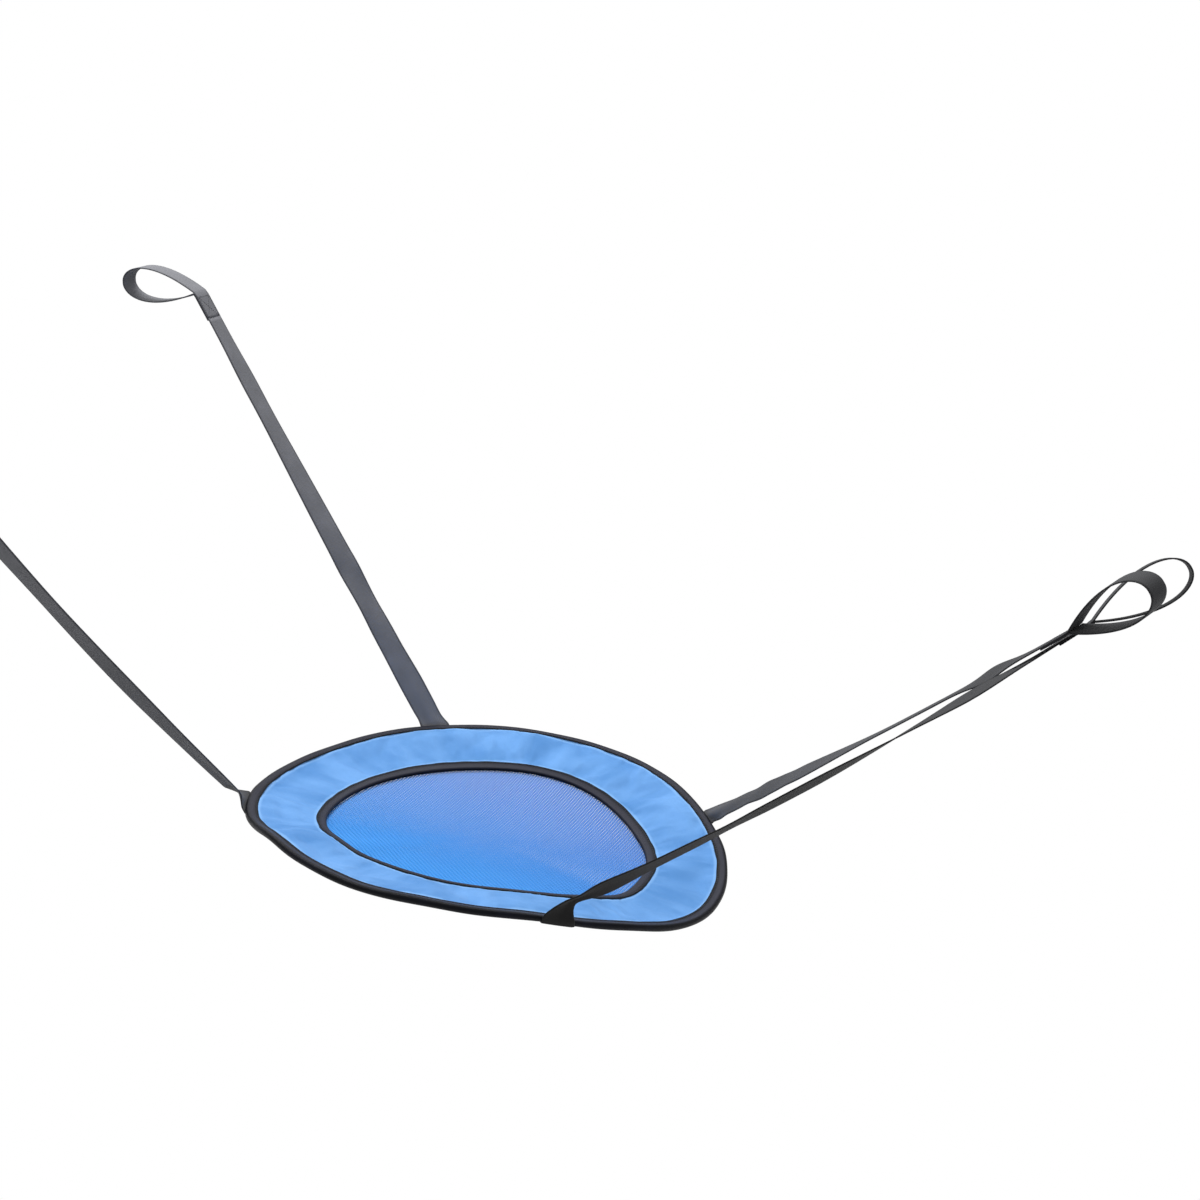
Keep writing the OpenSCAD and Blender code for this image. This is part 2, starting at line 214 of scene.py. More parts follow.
# %% Closed surface
def closed_surface(name, grids, join_rows=False, along=None, across=None):
    """grids is (rows, columns, 3) or (copies, rows, columns, 3). The columns close on
    themselves. The rows close too where join_rows says so, or else their ends get a face.
    along and across are the cloth's own lengths at the rows and columns, for the UV map."""
    grids = np.asarray(grids, float)
    grids = grids[None] if grids.ndim == 3 else grids
    copies, rows, cols, _ = grids.shape
    points = grids.reshape(-1, 3)
    i, j = corner_table(rows, cols, join_rows)
    quads = (i % rows) * cols + j % cols
    first = np.arange(cols)
    ends = np.empty((0, cols), int) if join_rows else np.stack([first, (rows - 1) * cols + first[::-1]])
    if enclosed(points, quads) <= 0:
        quads = quads[:, ::-1]
        ends = ends[:, ::-1]
        i = i[:, ::-1]
        j = j[:, ::-1]
    shift = (np.arange(copies) * rows * cols)[:, None, None]
    loops = np.concatenate([(quads + shift).ravel(), (ends + shift).ravel()])
    sizes = np.concatenate([np.full(copies * len(quads), 4), np.full(copies * len(ends), cols)])
    uv = None
    if along is not None:
        face_uv = np.stack([along[i], across[j]], -1).reshape(-1, 2)
        end_along = np.broadcast_to(along[[0, rows - 1]][:len(ends), None], ends.shape)
        end_uv = np.stack([end_along, across[ends % cols]], -1).reshape(-1, 2)
        uv = np.concatenate([np.tile(face_uv, (copies, 1)), np.tile(end_uv, (copies, 1))])
    return add_mesh(name, points, loops, sizes, uv)


def lengths_along(line):
    """Running length at each point of a line."""
    steps = np.linalg.norm(np.diff(line, axis=0), axis=-1)
    return np.concatenate([[0.0], np.cumsum(steps)])


# %% [markdown]
# ## Node helpers
# A finish is a small network: patterns worked out from the cloth's own UV map or from Object
# coordinates, colours mixed by them, and a bump that follows the same pattern, so that the
# light and the colour agree. These helpers add one node in one line. A socket knows which
# tree of nodes it belongs to, so the tree doesn't have to be named.

# %% Node helpers
def tint(red, green, blue):
    """A colour as it looks on screen, 0 to 255, as the linear colour that a shader needs."""
    c = np.array([red, green, blue]) / 255.0
    linear = np.where(c <= 0.04045, c / 12.92, ((c + 0.055) / 1.055) ** 2.4)
    return (*linear.tolist(), 1.0)


def feed(socket, value):
    """Link a socket to the socket that feeds it, or give it a value."""
    if isinstance(value, bpy.types.NodeSocket):
        socket.id_data.links.new(value, socket)
    else:
        socket.default_value = value


def node(beside, kind, inputs=None, **settings):
    """Add a node to the tree that has the node or socket beside. inputs feeds its sockets."""
    n = beside.id_data.nodes.new(kind)
    for key, value in settings.items():
        setattr(n, key, value)
    for key, value in (inputs or {}).items():
        feed(n.inputs[key], value)
    return n


def calc(operation, a, b=0.0, c=0.0):
    """One step of arithmetic. One of the three at least is a socket, the others may be numbers."""
    beside = next(value for value in (a, b, c) if isinstance(value, bpy.types.NodeSocket))
    return node(beside, "ShaderNodeMath", {0: a, 1: b, 2: c}, operation=operation).outputs[0]


def plus(a, b):
    """Sum of two sockets, or of a socket and a number."""
    return calc("ADD", a, b)


def times(a, b):
    """Product of two sockets, or of a socket and a number."""
    return calc("MULTIPLY", a, b)


def sine(distance, period):
    """A sine wave of a distance, one full wave to the period."""
    return calc("SINE", times(distance, 2 * math.pi / period))


def vector_calc(operation, a, b=(0, 0, 0)):
    """One step of vector arithmetic on socket a. A length or a dot product is a number."""
    result = "Value" if operation in ("LENGTH", "DOT_PRODUCT") else "Vector"
    return node(a, "ShaderNodeVectorMath", {0: a, 1: b}, operation=operation).outputs[result]


def level_part(where):
    """A place without its height."""
    return vector_calc("MULTIPLY", where, (1, 1, 0))


# %% Colours, patches and places
def blend_colour(amount, a, b):
    """Colour a turned into colour b by the socket amount."""
    return node(amount, "ShaderNodeMix", {0: amount, 6: a, 7: b}, data_type="RGBA").outputs[2]


def noise(where, scale, detail=3.0, rough=0.5):
    """Soft random patches, scale of them to the metre, from 0 to 1."""
    inputs = {"Vector": where, "Scale": scale, "Detail": detail, "Roughness": rough}
    return node(where, "ShaderNodeTexNoise", inputs).outputs[0]


def ramp(value, low, high):
    """0 below low, 1 above high, smooth between."""
    inputs = {0: value, 1: low, 2: high}
    return node(value, "ShaderNodeMapRange", inputs, interpolation_type="SMOOTHSTEP").outputs[0]


def split(place):
    """The three numbers of a place, as sockets."""
    return node(place, "ShaderNodeSeparateXYZ", {0: place}).outputs


def cloth_place(shader):
    """Two numbers of the cloth's UV map in metres: along the cloth and across it."""
    along, across, _ = split(node(shader, "ShaderNodeUVMap", uv_map="cloth").outputs[0])
    return along, across


# %% A finish and its coat
def new_finish(name, roughness, **constants):
    """A material with its shader's constant values set straight on the shader. It comes with
    the shader and the Object coordinates."""
    finish = bpy.data.materials.new(name)
    finish.use_nodes = True
    shader = finish.node_tree.nodes["Principled BSDF"]
    shader.inputs["Roughness"].default_value = roughness
    for key, value in constants.items():
        shader.inputs[key.replace("_", " ")].default_value = value
    print("finish:", name)
    return finish, shader, node(shader, "ShaderNodeTexCoord").outputs["Object"]


def bump(height, depth, strength=1.0, **under):
    """Light bent as by a height pattern that is depth metres deep, over the bump under it."""
    inputs = {"Strength": strength, "Distance": depth, "Height": height, **under}
    return node(height, "ShaderNodeBump", inputs).outputs[0]


def coat(shader, colour, bumps):
    """Give a shader its colour and its bump."""
    feed(shader.inputs["Base Color"], colour)
    feed(shader.inputs["Normal"], bumps)


print(f"half white on screen is {tint(128, 128, 128)[0]:.3f} to a shader")

# %% Dress a piece
def dress(piece, finish, slot, *nodes):
    """Give a piece its finish, and say which nodes it stands for. The slot is not used."""
    piece.data.materials.append(finish)
    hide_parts(*nodes)
    print(f"{piece.name} is {finish.name}, and stands for {', '.join(nodes)}")


# %% [markdown]
# ## Camera
# A camera at eye height looks down on the net from the front, with a lens a little longer
# than normal, so that the near side of the net isn't drawn too large.

# %% Camera
LENS_MM = 57.3
LOOK_DOWN = 17.1
camera_data = bpy.data.cameras.new("camera")
camera_data.lens = LENS_MM
camera_data.sensor_width = 36.0
camera_data.clip_end = 50.0
camera = add_object("camera", camera_data)
camera.location = (0.1174, -1.844, 0.807)
camera.rotation_euler = (math.radians(90 - LOOK_DOWN), 0.0, 0.0)
bpy.context.scene.camera = camera
print(f"the camera is {camera.location.length:.2f} m from the middle of the net")

# %% [markdown]
# ## The mesh panel
# The real panel is an open mesh of flat polyester threads. A sheet with a see-through
# pattern would be quick, but it has no thickness and shimmers at a low angle. Here every
# thread is real: two sets of threads cross at right angles and pass over and under each
# other. A thread is a four-sided tube with one ring at each crossing, so the whole panel
# stays under 200,000 triangles. The threads follow the sag of the panel: its height is a
# bowl whose depth grows with the square of the distance from the middle.

# %% The panel's surface
TAPE_T = 0.8
LAY_GAP = 0.15
BAND_TOP = 1.5
SLOT_HALF = BAND_TOP + LAY_GAP
TAPE_HALF = SLOT_HALF + TAPE_T
MESH_HALF_T = 0.4
MESH_DROP = TAPE_HALF + LAY_GAP + MESH_HALF_T
MESH_SAG = 20.0
SEAM_TAPE_W = 9.0
SEAM_FOLD_AT = SEAM_TAPE_W / 2 - TAPE_HALF
SEAM_OPEN_AT = -SEAM_TAPE_W / 2
SEW_MARGIN = 1.8
MESH_HEM_AT = SEAM_OPEN_AT + SEW_MARGIN / 2
SEAM_WIDER = 2.0


def seam_extra(a):
    """How much farther in the seam tape is folded, most at the back and least in front."""
    return SEAM_WIDER + wave(a, 0.8 * SEAM_WIDER, 1, 70)


def under_seam(a, inward):
    """Level radius and height of the mesh where it lies flat under the seam tape."""
    p = lay(a, border_width(a) + inward, -MESH_DROP)
    return np.hypot(p[..., 0], p[..., 1]), p[..., 2]


def panel_height(x, y):
    """Height of the mesh: inside the seam tape a tilted bowl, and a straight hem beyond."""
    a = np.arctan2(y, x)
    r = np.hypot(x, y)
    edge_r, edge_z = under_seam(a, SEAM_TAPE_W / 2 + seam_extra(a))
    hem_r, hem_z = under_seam(a, MESH_HEM_AT)
    q = np.minimum(r / edge_r, 1.0)
    middle = -MESH_SAG - MESH_DROP
    fall = seam_fall(a)
    bowl = middle + (edge_z - fall - middle) * q**2 + q * fall
    beyond = np.clip((r - edge_r) / (hem_r - edge_r), 0, 1)
    return np.where(r < edge_r, bowl, edge_z + (hem_z - edge_z) * beyond)


spots = np.linspace(0, 0.15, 4)
print("panel height from the middle towards +X:", panel_height(spots / MM, 0 * spots).round(1), "mm")

# %% Threads of the panel
MESH_PITCH = 3.0
THREAD_HALF_W = 1.12
THREAD_HALF_T = 0.21
THREAD_LIFT = 0.2
MESH_BEARING = np.radians(68)


def thread_set(bearing, parity):
    """One set of parallel threads. A thread's stations are its crossings with the other set,
    and its last station is where it meets the hem, which four rounds of its circle find. At
    crossing (j, k) it is lifted when j + k + parity is even, and lowered when it is odd."""
    n = int(NET_R * MESH_SHARE / MESH_PITCH) + 1
    j = np.arange(-n, n + 1)
    side = (j * MESH_PITCH)[:, None]
    run = np.array([np.cos(bearing), np.sin(bearing)])
    next_to = np.array([-run[1], run[0]])
    reach = np.full((len(j), 2), NET_R * MESH_SHARE) * [-1, 1]
    for _ in range(4):
        end = run * reach[..., None] + next_to * side[..., None]
        a = np.arctan2(end[..., 1], end[..., 0])
        hem_r, _ = under_seam(a, MESH_HEM_AT)
        reach = np.sqrt(np.maximum(hem_r**2 - side**2, 0)) * [-1, 1]
    k = np.arange(-n - 1, n + 2)
    t = np.clip(k * MESH_PITCH, reach[:, :1], reach[:, 1:])
    used = (k * MESH_PITCH > reach[:, :1] - MESH_PITCH) & (k * MESH_PITCH < reach[:, 1:] + MESH_PITCH)
    used &= (reach[:, 1:] - reach[:, :1]) > 4 * MESH_PITCH
    xy = run * t[..., None] + next_to * side[..., None]
    over = np.where((j[:, None] + k[None, :] + parity) % 2 == 0, THREAD_LIFT, -THREAD_LIFT)
    z = panel_height(xy[..., 0], xy[..., 1]) + over
    middle = np.concatenate([xy, z[..., None]], -1)
    across = np.append(next_to, 0.0) * THREAD_HALF_W
    upwards = np.array([0.0, 0.0, THREAD_HALF_T])
    ring = np.stack([middle + across, middle + upwards, middle - across, middle - upwards], 2)
    return ring, used


def woven_panel(name):
    """Both sets of threads as one mesh. A face is kept where both of its stations are used."""
    points = []
    loops = []
    base = 0
    for bearing, parity in ((MESH_BEARING, 0), (MESH_BEARING + np.pi / 2, 1)):
        ring, used = thread_set(bearing, parity)
        count, stations = used.shape
        number = base + np.arange(count * stations * 4).reshape(count, stations, 4)
        nearer, farther = number[:, :-1], number[:, 1:]
        both = used[:, :-1] & used[:, 1:]
        for s in range(4):
            e = (s + 1) % 4
            quad = np.stack([nearer[..., s], nearer[..., e], farther[..., e], farther[..., s]], -1)
            loops.append(quad[both])
        starts = used & ~np.pad(used, ((0, 0), (1, 0)))[:, :-1]
        stops = used & ~np.pad(used, ((0, 0), (0, 1)))[:, 1:]
        loops.append(number[starts][:, ::-1])
        loops.append(number[stops])
        points.append(ring.reshape(-1, 3))
        base += count * stations * 4
    points = np.concatenate(points)
    faces = np.concatenate(loops)
    if enclosed(points, faces) < 0:
        faces = faces[:, ::-1]
    kept, faces = np.unique(faces, return_inverse=True)
    faces = faces.reshape(-1, 4)
    return add_mesh(name, points[kept], faces.ravel(), np.full(len(faces), 4))


mesh_panel = woven_panel("woven_mesh")

# %% [markdown]
# The threads are glossy azure yarn. Towards the far right their blue is painted paler and a
# little violet: a painted sheen, with painted shade from the far seam tape.

# %% Mesh finish
mesh_finish, shader, where = new_finish("azure_mesh_yarn", 0.5, Specular_IOR_Level=0.15)
x, y, _ = split(where)
drift = plus(times(x, 2.0), times(y, 3.0))
# painted sheen and shade: the blue turns paler and a little violet towards the far right
far_sheen_and_shade = ramp(plus(drift, times(noise(where, 14.0), 0.3)), -0.55, 0.8)
colour = blend_colour(far_sheen_and_shade, tint(70, 165, 253), tint(92, 148, 236))
coat(shader, colour, bump(noise(where, 900.0), 0.0002))

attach(mesh_panel, "net")
dress(mesh_panel, mesh_finish, "blue_mesh", "mesh_panel")

# %% [markdown]
# ## The border
# The border is a soft ring cut from thick smooth fabric. It is not flat: it crowns a little
# between its two tapes, and soft folds run across it. The real folds come from cloth that is
# a little too large for its tapes, so a short cloth simulation makes them here. A thin ring
# is held at both edges while its cloth grows a little in every direction, so it buckles
# between them. It starts with faint folds from a formula, which say where the folds will be.

# %% Where the border folds
RIM_TAPE_W = 11.0
RIM_WIDER = 3.0
RIM_WIDEST_AT = 265
CORD_R = 2.0
FOLD_R = CORD_R + LAY_GAP + TAPE_T
STRAP_NAMES = ["left", "back", "right", "front"]
STRAP_BEARING = np.radians([187.0, 107.8, 18.3, 288.0])


def rim_extra(a):
    """How much wider the rim tape is than its mean, most in front and least at the back."""
    return wave(a, RIM_WIDER, 1, RIM_WIDEST_AT)


def between_tapes(a):
    """Distances inward from 1 mm under the rim tape to 1 mm under the seam tape."""
    return RIM_TAPE_W + rim_extra(a) - 1, border_width(a) + SEAM_OPEN_AT + 1


# bearing of a fold, its turn towards the seam, its height and its half width, in degrees and mm
FOLDS = np.array([
    [147, -2, 2.6, 3.6], [163, -4, -2.4, 3.0], [176, 2, 1.8, 4.0], [190, 1, -2.2, 3.0],
    [202, -4, 2.4, 3.5], [126, -3, -2.0, 4.2], [108, -5, 1.8, 5.0], [91, -6, -2.8, 4.5],
    [72, -5, 1.6, 5.0], [50, -9, -2.6, 5.0], [30, 3, 1.8, 4.0], [2, 3, -2.4, 4.0],
    [334, -6, 1.8, 5.0], [304, 5, -1.6, 4.0], [276, -5, 1.4, 4.0], [240, 4, -1.3, 6.0]])


def border_folds(a, share):
    """Each fold is a bell curve of the bearing whose crest turns a little on its way from
    the rim (share 0) to the seam (share 1). All of them fade to nothing at both tapes."""
    height = np.zeros(np.broadcast(a, share).shape)
    for at, turn, size, half_width in FOLDS:
        crest = np.radians(at + turn * share)
        height = height + size * np.exp(-((apart(a, crest) / np.radians(half_width)) ** 2))
    return height * np.sin(np.pi * np.clip(share, 0, 1)) ** 1.2


# a fan of folds: how far outside the rim its point lies, height, folds in a full turn, reach
FAN_OUT = 10
FAN_HEIGHT = 0.9
FAN_COUNT = 7
FAN_REACH = 45


def pull_folds(a, inward, share):
    """Short folds that spread like a fan from each strap: a wave of the angle about a point
    a little outside the rim, fading as a bell curve of the distance from it and at both tapes."""
    height = np.zeros(np.broadcast(a, inward).shape)
    for bearing in STRAP_BEARING:
        out = NET_R - inward
        x = out * np.sin(apart(a, bearing))
        y = NET_R + FAN_OUT - out * np.cos(apart(a, bearing))
        fading = np.exp(-((np.hypot(x, y) / FAN_REACH) ** 2))
        height = height + FAN_HEIGHT * np.cos(FAN_COUNT * np.arctan2(x, y)) * fading
    return height * np.clip(share * 8, 0, 1) * np.clip((1 - share) * 3, 0, 1)


print(f"{len(FOLDS)} folds, {np.abs(FOLDS[:, 2]).min()} to {np.abs(FOLDS[:, 2]).max()} mm high at first")

# %% The folds by simulation
SIM_STATIONS = 480
SIM_STEPS = 19
SIM_FRAMES = 30
SPARE_CLOTH = 0.014
HIGHEST_FOLD = 5.0


def open_ring(a, share):
    """A ring without thickness, whose folds start at half the formula's height."""
    first, last = between_tapes(a)
    inward = first + (last - first) * share
    return inward, lay(a, inward, 0.5 * (border_folds(a, share) + pull_folds(a, inward, share)))


def simulated_folds():
    """Heights of the folds over the plain border, as rows of bearings and columns of shares."""
    a = (np.arange(SIM_STATIONS) * 2 * np.pi / SIM_STATIONS)[:, None]
    share = np.linspace(0, 1, SIM_STEPS)[None, :]
    inward, start = open_ring(a, share)
    i, j = np.meshgrid(np.arange(SIM_STATIONS), np.arange(SIM_STEPS - 1), indexing="ij")
    ahead = (i + 1) % SIM_STATIONS
    faces = np.stack([i * SIM_STEPS + j, i * SIM_STEPS + j + 1, ahead * SIM_STEPS + j + 1,
                      ahead * SIM_STEPS + j], -1).reshape(-1, 4)
    mesh = bpy.data.meshes.new("ring_to_fold")
    mesh.from_pydata((start.reshape(-1, 3) * MM).tolist(), [], faces.tolist())
    ring = add_object("ring_to_fold", mesh)
    held = ring.vertex_groups.new(name="held")
    column = np.arange(SIM_STATIONS * SIM_STEPS) % SIM_STEPS
    held.add(np.flatnonzero((column == 0) | (column == SIM_STEPS - 1)).tolist(), 1.0, "REPLACE")
    cloth = ring.modifiers.new("cloth", "CLOTH")
    cloth.settings.quality = 6
    cloth.settings.mass = 0.01
    cloth.settings.tension_stiffness = 25.0
    cloth.settings.compression_stiffness = 25.0
    cloth.settings.shear_stiffness = 12.0
    cloth.settings.bending_stiffness = 1.5
    cloth.settings.air_damping = 1.0
    cloth.settings.vertex_group_mass = "held"
    cloth.settings.shrink_min = -SPARE_CLOTH
    cloth.settings.effector_weights.gravity = 0.0
    cloth.collision_settings.use_collision = False
    scene = bpy.context.scene
    for step in range(1, SIM_FRAMES + 1):
        scene.frame_set(step)
    folded = ring.evaluated_get(bpy.context.evaluated_depsgraph_get())
    co = np.empty(SIM_STATIONS * SIM_STEPS * 3)
    folded.data.vertices.foreach_get("co", co)
    scene.frame_set(1)
    bpy.data.objects.remove(ring)
    lifted = co.reshape(SIM_STATIONS, SIM_STEPS, 3) / MM - lay(a, inward, 0.0)
    height = np.einsum("ijk,ijk->ij", lifted, border_up(a, inward))
    return np.clip(height, -HIGHEST_FOLD, HIGHEST_FOLD)


def between(table, a, share):
    """Value of a table of bearings and shares at any point, mixed from the nearest four."""
    rows, cols = table.shape
    x = (a / (2 * np.pi) * rows) % rows
    y = np.clip(share, 0, 1) * (cols - 1.001)
    x, y = np.broadcast_arrays(x, y)
    i, j = x.astype(int), y.astype(int)
    u, v = x - i, y - j
    ahead = (i + 1) % rows
    return ((table[i, j] * (1 - v) + table[i, j + 1] * v) * (1 - u)
            + (table[ahead, j] * (1 - v) + table[ahead, j + 1] * v) * u)


fold_table = simulated_folds()
if fold_table is not None:
    print(f"simulated folds: {fold_table.min():.2f} to {fold_table.max():.2f} mm")


# %% The border's surface
# half the width and the length of the border that a strap's sewn end stiffens
TAB_COVER = (20, 33)
CROWN_UP = 1.3
CROWN_DOWN = 0.5
UV_SHIFT = 200.0


def over_tab(a, inward):
    """1 over the sewn end of a strap, whose stiff webbing lies close under the border, and 0
    away from it, by steep bell curves of the distance along and in from the rim."""
    cover = np.zeros(np.broadcast(a, inward).shape)
    for bearing in STRAP_BEARING:
        sideways = apart(a, bearing) * NET_R
        cover = cover + np.exp(-((sideways / TAB_COVER[0]) ** 8) - (inward / TAB_COVER[1]) ** 8)
    return cover


def border_ring(name, stations, steps):
    """Columns run from the rim to the seam on top and back below. The sheet is thickest in
    the middle: it crowns by a power of the sine of the share. The folds move the top and the
    underside together, as a bent sheet does, but not down into a tab. On the underside the UV
    map is shifted by a round number, so a finish can still find the distance inward there."""
    a = (np.arange(stations) * 2 * np.pi / stations)[:, None]
    k = np.linspace(0, 1, steps)
    outer = FOLD_R + CORD_R + LAY_GAP
    inner = SEAM_FOLD_AT - LAY_GAP
    inward = outer + (border_width(a) + inner - outer) * k
    first, last = between_tapes(a)
    share = np.clip((inward - first) / (last - first), 0, 1)
    if fold_table is None:
        bend = border_folds(a, share) + pull_folds(a, inward, share)
    else:
        bend = between(fold_table, a, share)
    bend = np.where(bend < 0, bend * (1 - over_tab(a, inward)), bend)
    crown = np.sin(np.pi * share) ** 0.6
    top = lay(a, inward, BAND_TOP + CROWN_UP * crown + bend)
    under = lay(a, inward, -BAND_TOP - CROWN_DOWN * crown + bend)
    grid = np.concatenate([top, under[:, ::-1]], 1)
    around = np.arange(stations + 1) * 2 * np.pi * NET_R / stations
    across = np.concatenate([inward[0], inward[0][::-1] + UV_SHIFT, [inward[0][0] + 2 * UV_SHIFT]])
    return closed_surface(name, grid, join_rows=True, along=around, across=across)


border = border_ring("border_fabric", 720, 26)

# %% [markdown]
# The fabric is a fine smooth knit. Its finish has rows of tiny knit stitches in the bump, a
# sheen, patches of deeper blue, and painted shade in its creases. The cloth pattern reads
# the UV map, so the knit runs round the ring.

# %% Border finish
KNIT_M = 0.0011
EDGE_HIGHLIGHT_M = 0.0045
border_finish, shader, where = new_finish("pale_blue_knit", 0.65, Specular_IOR_Level=0.15,
                                          Sheen_Weight=0.06)
along, across = cloth_place(shader)
wale = times(along, 2 * math.pi / KNIT_M)
slant = times(calc("ABSOLUTE", calc("SINE", times(wale, 0.5))), 2.0)
course = plus(times(across, 2 * math.pi / KNIT_M), slant)
knit = times(calc("COSINE", wale), calc("COSINE", course))
fine = noise(where, 260.0, 2.0)

# %% [markdown]
# Creases run across the ring as painted shade and as a bump, and so do random patches of
# deeper blue: a noise read at the bearing and a stretched radius is long that way. Close to
# each tape a painted highlight makes the fabric paler. The rim tape is wider in front, so
# the painted highlight moves with it: the bearing's dot product with the widest direction
# is the cosine of the angle between them.

# %% Border colours
level = level_part(where)
bearing = vector_calc("NORMALIZE", level)
stretched = times(vector_calc("LENGTH", level), 1.6)
spoke = node(shader, "ShaderNodeCombineXYZ", {2: stretched}).outputs[0]
# painted shade of the creases; the same noise also makes the creases' bump further down
crease_shade_and_relief = ramp(noise(vector_calc("ADD", bearing, spoke), 6.0, 2.0), 0.34, 0.64)
toned = ramp(noise(where, 17.0, 4.0), 0.3, 0.66)
patches_and_crease_shade = plus(times(toned, 0.5), times(crease_shade_and_relief, 0.5))
colour = blend_colour(patches_and_crease_shade, tint(84, 143, 209), tint(118, 174, 238))
colour = blend_colour(times(fine, 0.25), colour, tint(80, 141, 208))

widest = math.radians(RIM_WIDEST_AT)
widest = (RIM_WIDER * MM * math.cos(widest), RIM_WIDER * MM * math.sin(widest), 0)
inward = calc("MODULO", across, UV_SHIFT * MM)
from_tape = calc("SUBTRACT", inward, vector_calc("DOT_PRODUCT", bearing, widest))
rim_edge = RIM_TAPE_W * MM
seam_edge = (border_width(0.0) + SEAM_OPEN_AT) * MM
# painted highlight beside both tapes: the blue turns paler close to each tape's edge
by_rim = ramp(from_tape, rim_edge + EDGE_HIGHLIGHT_M, rim_edge + 0.001)
by_seam = ramp(inward, seam_edge - EDGE_HIGHLIGHT_M, seam_edge - 0.001)
near_an_edge = times(calc("MAXIMUM", by_rim, by_seam), 0.6)
colour = blend_colour(near_an_edge, colour, tint(146, 198, 255))
height = plus(times(knit, 0.5), times(fine, 0.6))
coat(shader, colour, bump(height, 0.00018, 0.7, Normal=bump(crease_shade_and_relief, 0.0016)))

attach(border, "net")
dress(border, border_finish, "blue_border", "border_band")

# %% [markdown]
# ## The binding tapes
# A folded tape closes each edge of the border. On the rim it rolls round a filler cord, and
# on the seam it folds flat round the border's cut edge. A tape is a strip with a thickness,
# so its section is a closed hairpin: over the outside of the fold and back along its
# inside. The section is carried round the net, and it is pulled in along the sewing line
# and puffs up between the stitches.

# %% Tape sections
STITCH_PITCH = 4.0
SEAM_SEW_AT = SEAM_OPEN_AT + SEW_MARGIN
RIM_SEW_AT = RIM_TAPE_W - SEW_MARGIN
CUT_EDGE = 0.25
# how far the sewing line draws the tape in: on the whole, how much more where the needle went
# through, and how far that reaches to both sides
DRAWN_IN = 0.22
NEEDLE_IN = 0.13
DRAWN_W = 1.1
# the puff of the rim's roll fades between these distances inward
PUFF_FROM = 3.0
PUFF_TO = 7.5
CUT_WANDER = 0.3
CUT_W = 1.2


def hairpin(fold_at, open_at, outside, inside, side, arc_steps, leg_steps):
    """A folded tape's section, as distance inward and height: top leg, round the fold, lower
    leg, round the cut edge, and back inside. side is -1 where the fold faces outward."""
    g = np.radians(np.linspace(90, -90, arc_steps))
    leg = np.linspace(1, 0, leg_steps)[:-1, None]

    def shell(r, level):
        top_open = np.array([[open_at, level]])
        arc = np.stack([fold_at + side * r * np.cos(g), r * np.sin(g)], 1)
        top = top_open * leg + arc[:1] * (1 - leg)
        low = (top * [1, -1])[::-1]
        return np.concatenate([top, arc, low])

    outer = shell(outside, TAPE_HALF)
    inner = shell(inside, SLOT_HALF)[::-1]
    edge = np.array([[open_at - side * CUT_EDGE, -(TAPE_HALF + SLOT_HALF) / 2]])
    return np.concatenate([outer, edge, inner, edge * [1, -1]])


def tape_at(part, a, inward):
    """Distance inward on a tape that isn't folded evenly all round. The rim tape's legs are
    longer in front, and the seam tape's fold lies farther in at the back. Part is 0 for the
    rim and 1 for the seam. The extra grows evenly from nothing to its full size."""
    if part == 0:
        return inward + rim_extra(a) * np.clip((inward - FOLD_R) / (RIM_TAPE_W - FOLD_R), 0, 1)
    return inward + seam_extra(a) * np.clip((inward - SEAM_SEW_AT) / (SEAM_FOLD_AT - SEAM_SEW_AT), 0, 1)


def on_tape(part, a, inward, up):
    """A point on a tape: bearing, distance inward on the plain tape, height over the border."""
    return lay(a, part * border_width(a) + tape_at(part, a, inward), up)


def puff(a):
    """How much the rolled rim is thicker than its cord needs, lumpy, and not at the straps."""
    lumps = 0.5 - 0.35 * np.sin(a) + 0.2 * np.sin(9 * a + 2 * np.sin(4 * a)) + 0.12 * np.sin(23 * a)
    for bearing in STRAP_BEARING:
        lumps = lumps * (1 - np.exp(-((apart(a, bearing) / np.radians(8)) ** 2)))
    return lumps


# %% Tapes round the net
def tape_ring(name, section, part, sew_at, stations, length):
    """The section carried round the net. Near the sewing line the tape sinks by a bell curve,
    deepest where the needle goes through, and its cut edges wander a little. The roll of the
    rim tape is scaled about the middle of its cord by the puff."""
    a = (np.arange(stations) * 2 * np.pi / stations)[:, None]
    inward, up = section[:, 0], section[:, 1]
    stitch_wave = np.cos(a * np.round(length / STITCH_PITCH))
    drawn = (DRAWN_IN + NEEDLE_IN * stitch_wave) * np.exp(-(((inward - sew_at) / DRAWN_W) ** 2))
    near_an_edge = np.clip((PUFF_TO - inward) / (PUFF_TO - PUFF_FROM), 0, 1) * (part == 0)
    puffed = 1 + puff(a) / FOLD_R * near_an_edge
    inward = FOLD_R + (inward - FOLD_R) * np.where(inward < FOLD_R, puffed, 1.0)
    up = up * puffed
    outside = np.abs(up) > SLOT_HALF + 0.3
    level = up - np.sign(up) * np.where(outside, drawn, 0.0)
    cut_at = inward.max() if part == 0 else inward.min()
    cut = np.exp(-(((inward - cut_at) / CUT_W) ** 2))
    wander = CUT_WANDER * np.sin(31 * a + 2 * np.sin(7 * a)) * cut * np.sign(up)
    grid = lay(a, part * border_width(a) + tape_at(part, a, inward) + wander, level)
    across = lengths_along(section)
    across = np.append(across, across[-1] + 2 * CUT_EDGE)
    around = np.arange(stations + 1) * length / stations
    return closed_surface(name, grid, join_rows=True, along=around, across=across)


